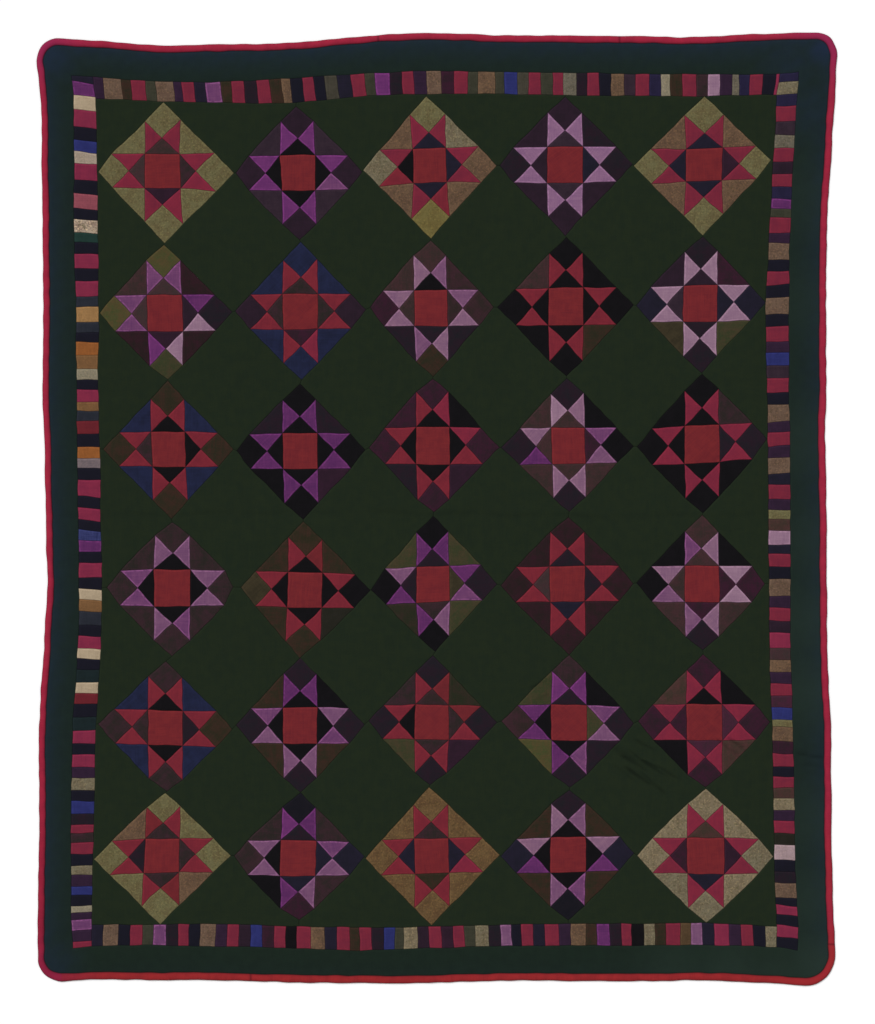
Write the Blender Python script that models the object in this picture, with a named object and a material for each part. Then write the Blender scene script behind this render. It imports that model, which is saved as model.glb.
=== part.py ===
"""A pieced star quilt, laid out flat and face up.

Thirty star blocks are set on point between plain squares. Around them run a strip pieced of narrow bits, a
plain border and a folded binding. Sizes are in millimetres here, and metres only in the meshes. The origin is
under the middle of the quilt, on the surface that it lies on. +Y is towards its top edge and +Z is up.
"""
import math
from collections import namedtuple

import bmesh
import bpy
from mathutils import Vector

MM = 0.001

SEAM_GAP = 0.3  # between the edges of two panels
SEAM_HEIGHT = 2.8  # top of the cloth at a seam, where the stitches pull it down
PATCH_CROWN = 1.2  # rise of a star patch's middle over its seams
PLAIN_CROWN = 1.6  # the same for a plain square or setting triangle
STRIP_CROWN = 1.0  # the same for a bit of the pieced strip
BORDER_HEIGHT = 4.0  # top of the plain border along its middle
UNEVENNESS = 0.3  # how far the padding lifts and drops the top from place to place
LUMP_ACROSS, LUMP_ALONG, LUMP_SLANTED = 97.0, 118.0, 57.0  # size of its lumps, as the radian of a wave

STRIP_BITS = 6  # bits of the pieced strip along half a block
END_BITS = 2  # bits of a side strip across the end of the strip it meets
BINDING_WIDTH = 14.0
CORNER_RADIUS = 57.0
CORNER_STEPS = 6
SHARPEST_FOLD = 30  # degrees; sharper edges stay sharp in the shading

# A star block is drawn on a grid whose unit is half the side of its centre square, corner to corner 8 units.
BLOCK_REACH = 4

# Where each column of blocks runs, at the joins under its first, third and fifth block.
MIDDLE_LEVEL, LOWER_LEVEL = 3, 5
Column = namedtuple("Column", "upper middle lower")
COLUMNS = (
    Column(upper=-619, middle=-601, lower=-616),
    Column(upper=-310, middle=-304, lower=-310),
    Column(upper=-15, middle=-8, lower=-17),
    Column(upper=292, middle=300, lower=301),
    Column(upper=604, middle=602, lower=610),
)

# Where each row of blocks runs, at the joins beside its first and fourth block.
LEFT_PLACE, RIGHT_PLACE = 1, 4
Row = namedtuple("Row", "left right")
ROWS = (
    Row(left=762, right=781),
    Row(left=448, right=461),
    Row(left=132, right=142),
    Row(left=-177, right=-169),
    Row(left=-495, right=-485),
    Row(left=-787, right=-784),
)

# The wavy lines of each side, at the field's corners, at each star's tip and halfway between tips: the seam
# of field and strip, that of strip and border, and the hem. The first number is the place along the side.
Station = namedtuple("Station", "along field strip hem")
SIDES = {
    "top": (
        Station(-775, field=931, strip=980, hem=1061),
        Station(-622, field=925, strip=969, hem=1051),
        Station(-470, field=921, strip=970, hem=1053),
        Station(-319, field=922, strip=978, hem=1057),
        Station(-171, field=937, strip=987, hem=1071),
        Station(-24, field=942, strip=993, hem=1079),
        Station(134, field=942, strip=991, hem=1074),
        Station(291, field=939, strip=989, hem=1073),
        Station(450, field=937, strip=987, hem=1071),
        Station(608, field=937, strip=986, hem=1070),
        Station(771, field=940, strip=987, hem=1078),
    ),
    "bottom": (
        Station(-783, field=-944, strip=-992, hem=-1068),
        Station(-629, field=-942, strip=-991, hem=-1068),
        Station(-471, field=-942, strip=-993, hem=-1070),
        Station(-314, field=-947, strip=-997, hem=-1074),
        Station(-163, field=-950, strip=-1001, hem=-1076),
        Station(-13, field=-948, strip=-996, hem=-1075),
        Station(143, field=-944, strip=-992, hem=-1070),
        Station(298, field=-941, strip=-991, hem=-1070),
        Station(455, field=-941, strip=-991, hem=-1071),
        Station(612, field=-939, strip=-990, hem=-1069),
        Station(771, field=-948, strip=-994, hem=-1077),
    ),
    "left": (
        Station(931, field=-775, strip=-826, hem=-898),
        Station(765, field=-771, strip=-823, hem=-895),
        Station(606, field=-769, strip=-823, hem=-893),
        Station(445, field=-767, strip=-819, hem=-891),
        Station(290, field=-769, strip=-818, hem=-893),
        Station(136, field=-765, strip=-816, hem=-889),
        Station(-21, field=-763, strip=-814, hem=-886),
        Station(-177, field=-760, strip=-812, hem=-883),
        Station(-334, field=-763, strip=-816, hem=-891),
        Station(-488, field=-774, strip=-826, hem=-901),
        Station(-643, field=-777, strip=-829, hem=-901),
        Station(-793, field=-781, strip=-830, hem=-902),
        Station(-944, field=-783, strip=-829, hem=-904),
    ),
    "right": (
        Station(940, field=771, strip=818, hem=902),
        Station(791, field=763, strip=809, hem=893),
        Station(629, field=755, strip=801, hem=884),
        Station(467, field=746, strip=799, hem=882),
        Station(313, field=748, strip=799, hem=882),
        Station(159, field=751, strip=801, hem=880),
        Station(-5, field=752, strip=802, hem=883),
        Station(-170, field=754, strip=802, hem=884),
        Station(-326, field=755, strip=803, hem=885),
        Station(-483, field=760, strip=808, hem=892),
        Station(-636, field=763, strip=811, hem=894),
        Station(-789, field=765, strip=813, hem=895),
        Station(-948, field=771, strip=819, hem=901),
    ),
}

# The corner of the pieced strip, and where the hems would meet before the corner is rounded.
Corner = namedtuple("Corner", "strip hem")
CORNERS = {
    ("top", "left"): Corner(strip=(-829, 983), hem=(-910, 1071)),
    ("top", "right"): Corner(strip=(822, 992), hem=(911, 1085)),
    ("bottom", "right"): Corner(strip=(819, -1001), hem=(903, -1086)),
    ("bottom", "left"): Corner(strip=(-826, -997), hem=(-903, -1073)),
}
INWARD = {
    "top": Vector((0, -1)),
    "bottom": Vector((0, 1)),
    "left": Vector((1, 0)),
    "right": Vector((-1, 0)),
}

# The binding's section: how far across its width from the seam, and how high.
BINDING_SECTION = (
    (0.0, 0.0),
    (0.0, 3.2),
    (0.15, 4.3),
    (0.5, 4.8),
    (0.85, 4.2),
    (1.0, 2.3),
    (0.93, 0.0),
)

# The cloths, as linear colours.
CLOTHS = {
    "field green": (0.013, 0.022, 0.010),
    "border green": (0.010, 0.020, 0.016),
    "centre brick": (0.165, 0.018, 0.020),
    "rose": (0.190, 0.015, 0.045),
    "lilac": (0.270, 0.130, 0.290),
    "navy": (0.010, 0.009, 0.018),
    "plum": (0.045, 0.018, 0.035),
    "olive": (0.120, 0.105, 0.050),
    "binding crimson": (0.360, 0.016, 0.045),
    "binding brick": (0.330, 0.020, 0.028),
}
CLOTH_ROUGHNESS = 0.9
STRIP_CLOTHS = ("rose", "navy", "olive", "plum", "rose", "navy", "lilac", "navy")

# Rose and lilac stars take turns along a row, and light grounds stand in the corners and mid edges.
FIRST_STARS = ("rose", "lilac", "rose", "lilac", "rose", "rose")
LIGHT_GROUND_ROWS = (0, 5)
LIGHT_GROUND_COLUMNS = (0, 2, 4)


def upright(side):
    return side in ("left", "right")


def side_corners(side):
    return [corner for sides, corner in CORNERS.items() if side in sides]


def curve(points, at):
    """Value at a place along a smooth curve through (place, value) points."""
    points = sorted(points)
    last = len(points) - 1
    first = max(0, min(last - 1, sum(place <= at for place, _ in points) - 1))
    (start, low), (end, high) = points[first], points[first + 1]

    def slope(index):
        (before, less), (after, more) = points[max(index - 1, 0)], points[min(index + 1, last)]
        return (more - less) / (after - before)

    length = end - start
    t = (at - start) / length
    return (
        (2 * t**3 - 3 * t**2 + 1) * low
        + (3 * t**2 - 2 * t**3) * high
        + (t**3 - 2 * t**2 + t) * length * slope(first)
        + (t**3 - t**2) * length * slope(first + 1)
    )


def side_point(side, line, at):
    """Point of a side's field, strip or hem line at a place along the side."""
    points = [(station.along, getattr(station, line)) for station in SIDES[side]]
    if line != "field":
        ends = [getattr(corner, line) for corner in side_corners(side)]
        points += [(y, x) if upright(side) else (x, y) for x, y in ends]
    value = curve(points, at)
    return Vector((value, at)) if upright(side) else Vector((at, value))


def divided(start, end, parts):
    return [start + (end - start) * i / parts for i in range(parts + 1)]


def spans(side):
    """Places of the strip's seams, as one list for each span between two stations of the side."""
    places = [station.along for station in SIDES[side]]
    return [divided(a, b, STRIP_BITS) for a, b in zip(places, places[1:])]


def end_place(side, corner):
    return corner.strip[1] if upright(side) else corner.strip[0]


def strip_spans(side):
    """The strip line's points, one list for each span, with the spans at both ends as far as its corners."""
    lines = [[side_point(side, "strip", at) for at in span] for span in spans(side)]
    for corner in side_corners(side):
        start, end = SIDES[side][0].along, SIDES[side][-1].along
        corner_at = end_place(side, corner)
        at_start = abs(corner_at - start) < abs(corner_at - end)
        near = start if at_start else end
        parts = END_BITS if upright(side) else 1
        line = [side_point(side, "strip", at) for at in divided(corner_at, near, parts)]
        if at_start:
            lines.insert(0, line)
        else:
            lines.append(line[::-1])
    return lines


def block_corners():
    """The four corners (N, E, S, W) of each block, keyed by its row and column. Neighbours share a corner."""

    def column_x(column, level):
        upper, middle, lower = COLUMNS[column]
        t = (level - MIDDLE_LEVEL) / (LOWER_LEVEL - MIDDLE_LEVEL)
        return middle + t * (lower - upper) / 2 + t * t * ((lower + upper) / 2 - middle)

    def row_y(row, place):
        left, right = ROWS[row]
        return left + (right - left) * (place - LEFT_PLACE) / (RIGHT_PLACE - LEFT_PLACE)

    def upright_join(level, column):
        for side, edge in (("top", 0), ("bottom", len(ROWS))):
            if level == edge:
                at = SIDES[side][2 * column + 1].along
                return side_point(side, "field", at)
        height = (row_y(level - 1, column + 0.5) + row_y(level, column + 0.5)) / 2
        return Vector((column_x(column, level), height))

    def level_join(row, place):
        for side, edge in (("left", 0), ("right", len(COLUMNS))):
            if place == edge:
                at = SIDES[side][2 * row + 1].along
                return side_point(side, "field", at)
        across = (column_x(place - 1, row + 0.5) + column_x(place, row + 0.5)) / 2
        return Vector((across, row_y(row, place)))

    return {
        (row, column): (
            upright_join(row, column),
            level_join(row, column + 1),
            upright_join(row + 1, column),
            level_join(row, column),
        )
        for row in range(len(ROWS))
        for column in range(len(COLUMNS))
    }


def in_block(corners, u, v):
    """Point of a block's grid. (0, 4) is its north corner and (4, 0) its east corner."""
    north, east, south, west = corners
    s = (u + v) / (2 * BLOCK_REACH) + 0.5
    t = (v - u) / (2 * BLOCK_REACH) + 0.5
    return north * s * t + east * s * (1 - t) + south * (1 - s) * (1 - t) + west * (1 - s) * t


def turned(outline, quarters):
    for _ in range(quarters):
        outline = [(v, -u) for u, v in outline]
    return outline


def star_patches(corners, star, ground):
    """The 21 patches of a block: a centre square, and the same five patches four times round it."""
    quarter = (
        ("navy", [(-1, 1), (1, 1), (0, 2)]),
        (star, [(-1, 1), (0, 2), (-1, 3)]),
        (star, [(1, 1), (1, 3), (0, 2)]),
        (ground, [(0, 2), (1, 3), (0, 4), (-1, 3)]),
        (ground, [(1, 1), (3, 1), (1, 3)]),
    )
    patches = [("centre brick", [(-1, -1), (1, -1), (1, 1), (-1, 1)])]
    patches += [(cloth, turned(outline, n)) for n in range(4) for cloth, outline in quarter]
    return [(cloth, [in_block(corners, u, v) for u, v in outline]) for cloth, outline in patches]


def block_side(corners, quarters):
    """Seam ends along a block's outer side: from its north to its east corner, turned by some quarters."""
    return [in_block(corners, u, v) for u, v in turned([(0, 4), (1, 3), (3, 1), (4, 0)], quarters)]


def edge_run(side, first, last):
    """The field line's points along a side between two of its stations, in that order."""
    backwards = first > last
    run = []
    for span in spans(side)[min(first, last) : max(first, last)]:
        run += [side_point(side, "field", at) for at in span]
    return run[::-1] if backwards else run


def plain_patches(blocks):
    """The plain squares between four blocks, and the triangles that fill the field out to its edges."""
    last_row, last_column = len(ROWS) - 1, len(COLUMNS) - 1
    outlines = []

    def add(*runs):
        outlines.append([point for run in runs for point in run])

    for row in range(last_row):
        for column in range(last_column):
            add(
                block_side(blocks[row, column], 1),
                block_side(blocks[row + 1, column], 0),
                block_side(blocks[row + 1, column + 1], 3),
                block_side(blocks[row, column + 1], 2),
            )
    for column in range(last_column):
        tip, next_tip = 2 * column + 1, 2 * column + 3
        upper, next_upper = blocks[0, column], blocks[0, column + 1]
        lower, next_lower = blocks[last_row, column], blocks[last_row, column + 1]
        add(block_side(upper, 0), block_side(next_upper, 3), edge_run("top", next_tip, tip))
        add(block_side(next_lower, 2), block_side(lower, 1), edge_run("bottom", tip, next_tip))
    for row in range(last_row):
        tip, next_tip = 2 * row + 1, 2 * row + 3
        western, next_western = blocks[row, 0], blocks[row + 1, 0]
        eastern, next_eastern = blocks[row, last_column], blocks[row + 1, last_column]
        add(block_side(next_western, 3), block_side(western, 2), edge_run("left", tip, next_tip))
        add(block_side(eastern, 1), block_side(next_eastern, 0), edge_run("right", next_tip, tip))
    top_end, side_end = 2 * len(COLUMNS), 2 * len(ROWS)
    add(block_side(blocks[0, 0], 3), edge_run("top", 1, 0), edge_run("left", 0, 1))
    add(
        block_side(blocks[0, last_column], 0),
        edge_run("right", 1, 0),
        edge_run("top", top_end, top_end - 1),
    )
    add(
        block_side(blocks[last_row, last_column], 1),
        edge_run("bottom", top_end - 1, top_end),
        edge_run("right", side_end, side_end - 1),
    )
    add(
        block_side(blocks[last_row, 0], 2),
        edge_run("left", side_end - 1, side_end),
        edge_run("bottom", 0, 1),
    )
    return outlines


def hem_pair(side, at):
    """The hem, and the seam that joins binding to border, at a place along a side."""
    hem = side_point(side, "hem", at)
    return hem, hem + INWARD[side] * BINDING_WIDTH


def arc_place(side, corner):
    """Place along a side where the rounding of one of its corners starts."""
    x, y = corner.hem
    place = y if upright(side) else x
    return place - math.copysign(CORNER_RADIUS, place)


def corner_pairs(sides):
    """Hem and seam pairs round one corner, from its top or bottom side to its left or right side."""
    flat_side, upright_side = sides
    corner = CORNERS[sides]
    flat_end = side_point(flat_side, "hem", arc_place(flat_side, corner))
    upright_end = side_point(upright_side, "hem", arc_place(upright_side, corner))
    middle = Vector((flat_end.x, upright_end.y))
    reach = Vector((upright_end.x, flat_end.y)) - middle
    narrower = Vector([math.copysign(BINDING_WIDTH, value) for value in reach])
    pairs = []
    for step in range(CORNER_STEPS + 1):
        angle = math.pi / 2 * step / CORNER_STEPS
        turn = Vector((math.sin(angle), math.cos(angle)))
        pairs.append(tuple(middle + turn * size for size in (reach, reach - narrower)))
    return pairs


def hem_places(side):
    """Places of the hem's points between the side's strip corners, one list for each span."""
    places = [station.along for station in SIDES[side]]
    first, last = [end_place(side, corner) for corner in side_corners(side)]
    if abs(first - places[0]) > abs(last - places[0]):
        first, last = last, first
    inner = [divided(a, b, 2) for a, b in zip(places, places[1:])]
    return [[first, places[0]]] + inner + [[places[-1], last]]


def field_faces():
    blocks = block_corners()
    faces = []
    for (row, column), corners in blocks.items():
        others = {"rose": "lilac", "lilac": "rose"}
        star = FIRST_STARS[row] if column % 2 == 0 else others[FIRST_STARS[row]]
        light = row in LIGHT_GROUND_ROWS and column in LIGHT_GROUND_COLUMNS
        ground = "olive" if light else "plum"
        for cloth, outline in star_patches(corners, star, ground):
            faces.append((cloth, PATCH_CROWN, raised(outline)))
    for outline in plain_patches(blocks):
        faces.append(("field green", PLAIN_CROWN, raised(outline)))
    return faces


def strip_faces(side):
    """The bits of one strip. The left and right strips also cross the ends of the other two."""
    sections = []
    for span in spans(side):
        sections += [(side_point(side, "strip", at), side_point(side, "field", at)) for at in span]
    if upright(side):
        for sides, corner in CORNERS.items():
            if side not in sides:
                continue
            near = sections[0] if sides[0] == "top" else sections[-1]
            crossed = side_point(sides[0], "strip", near[1].x)
            outer = strip_spans(side)[0] if sides[0] == "top" else strip_spans(side)[-1][::-1]
            inner = [crossed.lerp(near[1], i / END_BITS) for i in range(END_BITS + 1)]
            ends = list(zip(outer, inner))
            sections = ends + sections if sides[0] == "top" else sections + ends[::-1]
    faces = []
    for (outer, inner), (next_outer, next_inner) in zip(sections, sections[1:]):
        if (next_outer - outer).length > SEAM_GAP:
            cloth = STRIP_CLOTHS[len(faces) % len(STRIP_CLOTHS)]
            faces.append((cloth, STRIP_CROWN, raised([outer, inner, next_inner, next_outer])))
    return faces


def border_faces(side):
    """One plain border, higher along its middle. The left and right borders hold the rounded corners."""
    faces = []
    runs = list(zip(strip_spans(side), hem_places(side)))
    for strip_line, places in runs:
        seam_line = [hem_pair(side, at)[1] for at in places]
        strip_ends = [side_point(side, "strip", at) for at in places]
        middle = raised([a.lerp(b, 0.5) for a, b in zip(strip_ends, seam_line)], BORDER_HEIGHT)
        if not upright(side) and strip_line is runs[0][0]:
            middle[0].z = SEAM_HEIGHT
        if not upright(side) and strip_line is runs[-1][0]:
            middle[-1].z = SEAM_HEIGHT
        outer = raised(seam_line)
        faces.append(("border green", 0, raised(strip_line) + middle[::-1]))
        for i in range(len(middle) - 1):
            faces.append(("border green", 0, [middle[i], middle[i + 1], outer[i + 1], outer[i]]))
    if upright(side):
        for sides, corner in CORNERS.items():
            if side in sides:
                faces.append(("border green", BORDER_HEIGHT - SEAM_HEIGHT, border_corner(sides, corner)))
    return faces


def border_corner(sides, corner):
    flat_side, upright_side = sides
    strip_corner = Vector(corner.strip)
    joint = hem_pair(flat_side, corner.strip[0])[1]
    near = hem_pair(upright_side, corner.strip[1])[1]
    arc = [seam for _, seam in corner_pairs(sides)]
    outline = raised([strip_corner, joint] + arc + [near])
    return outline + raised([strip_corner.lerp(near, 0.5)], BORDER_HEIGHT)


def raised(outline, height=SEAM_HEIGHT):
    return [Vector((point.x, point.y, height)) for point in outline]


def binding_path(side):
    """Hem and seam pairs along one length of binding. The left and right lengths go round the corners."""
    places = []
    for span in hem_places(side):
        places += span
    ends = {sides: arc_place(side, corner) for sides, corner in CORNERS.items() if side in sides}
    low_first = places[0] < places[-1]
    first, last = sorted(ends.values(), reverse=not low_first)
    pairs = [hem_pair(side, at) for at in [first] + places + [last]]
    if upright(side):
        pairs = corner_pairs(("top", side)) + pairs + corner_pairs(("bottom", side))[::-1]
    path = [pairs[0]]
    for pair in pairs[1:]:
        if (pair[0] - path[-1][0]).length > SEAM_GAP:
            path.append(pair)
    return path


def uneven(x, y):
    """Lift of the top, where the padding has shifted with use."""
    wide = math.sin(x / LUMP_ACROSS + 1) * math.cos(y / LUMP_ALONG)
    narrow = math.sin((x + y) / LUMP_SLANTED) * math.cos((x - y) / LUMP_SLANTED + 2)
    return UNEVENNESS * (2 * wide + narrow) / 3


def ease_outline(bm):
    """Draws the outline in by half the gap between panels."""
    moves = {}
    for vert in bm.verts:
        inward = []
        for edge in vert.link_edges:
            if not edge.is_boundary:
                continue
            other = edge.other_vert(vert)
            along = (other.co - vert.co).xy.normalized()
            across = Vector((-along.y, along.x))
            middle = (vert.co + other.co).xy / 2
            face_middle = edge.link_faces[0].calc_center_median().xy
            inward.append(across if across.dot(face_middle - middle) > 0 else -across)
        if len(inward) == 2:
            moves[vert] = (inward[0] + inward[1]) / (1 + inward[0].dot(inward[1])) * SEAM_GAP / 2
    for vert, move in moves.items():
        vert.co.xy += move


def cloth_materials():
    made = {}
    for name, colour in CLOTHS.items():
        material = bpy.data.materials.new(name)
        material.use_nodes = True
        shader = material.node_tree.nodes["Principled BSDF"]
        shader.inputs["Base Color"].default_value = (*colour, 1)
        shader.inputs["Roughness"].default_value = CLOTH_ROUGHNESS
        shader.inputs["Metallic"].default_value = 0
        made[name] = material
    return made


def add_object(name, bm, cloths, collection, materials):
    """Turns a mesh built in millimetres into a named object in metres."""
    bmesh.ops.recalc_face_normals(bm, faces=bm.faces)
    bmesh.ops.scale(bm, vec=(MM, MM, MM), verts=bm.verts)
    mesh = bpy.data.meshes.new(name)
    bm.to_mesh(mesh)
    bm.free()
    for cloth in cloths:
        mesh.materials.append(materials[cloth])
    mesh.shade_smooth()
    mesh.set_sharp_from_angle(angle=math.radians(SHARPEST_FOLD))
    collection.objects.link(bpy.data.objects.new(name, mesh))


def add_panel(name, faces, centre, collection, materials):
    """A panel from its top faces, each a cloth, a crown and an outline, down to a flat underside at 0."""
    bm = bmesh.new()
    crown = bm.faces.layers.float.new("crown")
    cloths = sorted({cloth for cloth, _, _ in faces})
    found = {}
    for cloth, rise, outline in faces:
        corners = []
        for point in outline:
            key = (round(point.x, 2), round(point.y, 2))
            if key not in found:
                found[key] = bm.verts.new((point.x - centre.x, point.y - centre.y, point.z))
            if found[key] not in corners:
                corners.append(found[key])
        face = bm.faces.new(corners)
        face.material_index = cloths.index(cloth)
        face[crown] = rise
    bm.normal_update()
    ease_outline(bm)
    bmesh.ops.recalc_face_normals(bm, faces=bm.faces)
    underside = bm.verts[:]
    lifted = bmesh.ops.extrude_face_region(bm, geom=bm.faces[:])["geom"]
    for vert in underside:
        vert.co.z = 0
    bmesh.ops.recalc_face_normals(bm, faces=bm.faces)
    tops = [face for face in lifted if isinstance(face, bmesh.types.BMFace)]
    for rise in sorted({face[crown] for face in tops} - {0}):
        crowned = [face for face in tops if face.is_valid and face[crown] == rise]
        bmesh.ops.poke(bm, faces=crowned, offset=rise, center_mode="MEAN_WEIGHTED")
    for vert in bm.verts:
        if vert.co.z > 0:
            vert.co.z += uneven(vert.co.x, vert.co.y)
    add_object(name, bm, cloths, collection, materials)


def add_binding(name, path, cloth, centre, collection, materials):
    """One length of folded binding, lofted through its hem and seam pairs."""
    bm = bmesh.new()
    rings = []
    for index, (hem, seam) in enumerate(path):
        hem, seam = hem - centre, seam - centre
        across = (hem - seam).normalized()
        seam = seam + across * SEAM_GAP / 2
        if index in (0, len(path) - 1):
            beside = path[1][0] if index == 0 else path[-2][0]
            along = Vector((-across.y, across.x))
            inward = along if along.dot(beside - centre - hem) > 0 else -along
            hem, seam = hem + inward * SEAM_GAP / 2, seam + inward * SEAM_GAP / 2
        ring = []
        for share, height in BINDING_SECTION:
            x, y = seam.lerp(hem, share)
            ring.append(bm.verts.new((x, y, height + (uneven(x, y) if height else 0))))
        rings.append(ring)
    for ring, following in zip(rings, rings[1:]):
        for i in range(len(ring)):
            j = (i + 1) % len(ring)
            bm.faces.new((ring[i], ring[j], following[j], following[i]))
    bm.faces.new(rings[0])
    bm.faces.new(rings[-1][::-1])
    add_object(name, bm, [cloth], collection, materials)


for obj in list(bpy.data.objects):
    bpy.data.objects.remove(obj)

quilt = bpy.data.collections.new("star_quilt")
bpy.context.scene.collection.children.link(quilt)
cloth_palette = cloth_materials()
paths = {side: binding_path(side) for side in SIDES}
hems = [hem for path in paths.values() for hem, _ in path]
quilt_centre = Vector(
    [(min(hem[axis] for hem in hems) + max(hem[axis] for hem in hems)) / 2 for axis in (0, 1)]
)

add_panel("star_field", field_faces(), quilt_centre, quilt, cloth_palette)
for side in SIDES:
    add_panel(f"pieced_strip_{side}", strip_faces(side), quilt_centre, quilt, cloth_palette)
    add_panel(f"border_{side}", border_faces(side), quilt_centre, quilt, cloth_palette)
    binding_cloth = "binding brick" if side == "bottom" else "binding crimson"
    add_binding(f"binding_{side}", paths[side], binding_cloth, quilt_centre, quilt, cloth_palette)
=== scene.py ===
import math
from collections import namedtuple

import bpy
import numpy as np
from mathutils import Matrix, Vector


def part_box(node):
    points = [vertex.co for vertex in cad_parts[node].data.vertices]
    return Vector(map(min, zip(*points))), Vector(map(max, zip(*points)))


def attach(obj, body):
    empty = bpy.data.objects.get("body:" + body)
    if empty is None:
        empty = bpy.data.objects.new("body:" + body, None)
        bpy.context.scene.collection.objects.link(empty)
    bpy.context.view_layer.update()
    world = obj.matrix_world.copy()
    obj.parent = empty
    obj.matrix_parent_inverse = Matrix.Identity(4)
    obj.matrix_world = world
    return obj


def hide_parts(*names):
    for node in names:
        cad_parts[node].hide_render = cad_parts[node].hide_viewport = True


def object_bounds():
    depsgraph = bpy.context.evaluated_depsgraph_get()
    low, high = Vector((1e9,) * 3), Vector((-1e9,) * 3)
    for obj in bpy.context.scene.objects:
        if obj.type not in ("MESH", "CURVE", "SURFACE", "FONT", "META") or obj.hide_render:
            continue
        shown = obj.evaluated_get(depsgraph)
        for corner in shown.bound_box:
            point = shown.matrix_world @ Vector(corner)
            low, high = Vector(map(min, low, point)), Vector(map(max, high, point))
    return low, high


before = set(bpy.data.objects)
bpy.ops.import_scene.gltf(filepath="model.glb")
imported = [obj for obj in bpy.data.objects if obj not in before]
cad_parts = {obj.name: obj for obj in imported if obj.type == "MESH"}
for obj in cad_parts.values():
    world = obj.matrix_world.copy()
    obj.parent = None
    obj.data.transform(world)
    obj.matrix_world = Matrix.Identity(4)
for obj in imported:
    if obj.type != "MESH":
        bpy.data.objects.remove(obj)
cad_low, cad_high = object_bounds()


# The star blocks. Each is a wool patchwork star of 21 patches: a brick red square, four small triangles round
# it that make a bigger square, eight points, and four squares and four triangles of ground. They are cut from
# scraps and pieced by hand, so the tips drift from the grid and many blocks mix two or three cloths.
MM = 0.001  # metres in a millimetre
PIXEL = 2.27  # millimetres of cloth in a pixel of the photo, which shows the quilt square on
PHOTO_ORIGIN = (436.9, 508.9)  # the pixel that places on the quilt are measured from


def from_photo(x, y):
    """A pixel of the photo as a place on the quilt, in millimetres to the right and up."""
    return np.array(((x - PHOTO_ORIGIN[0]) * PIXEL, (PHOTO_ORIGIN[1] - y) * PIXEL))


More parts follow.
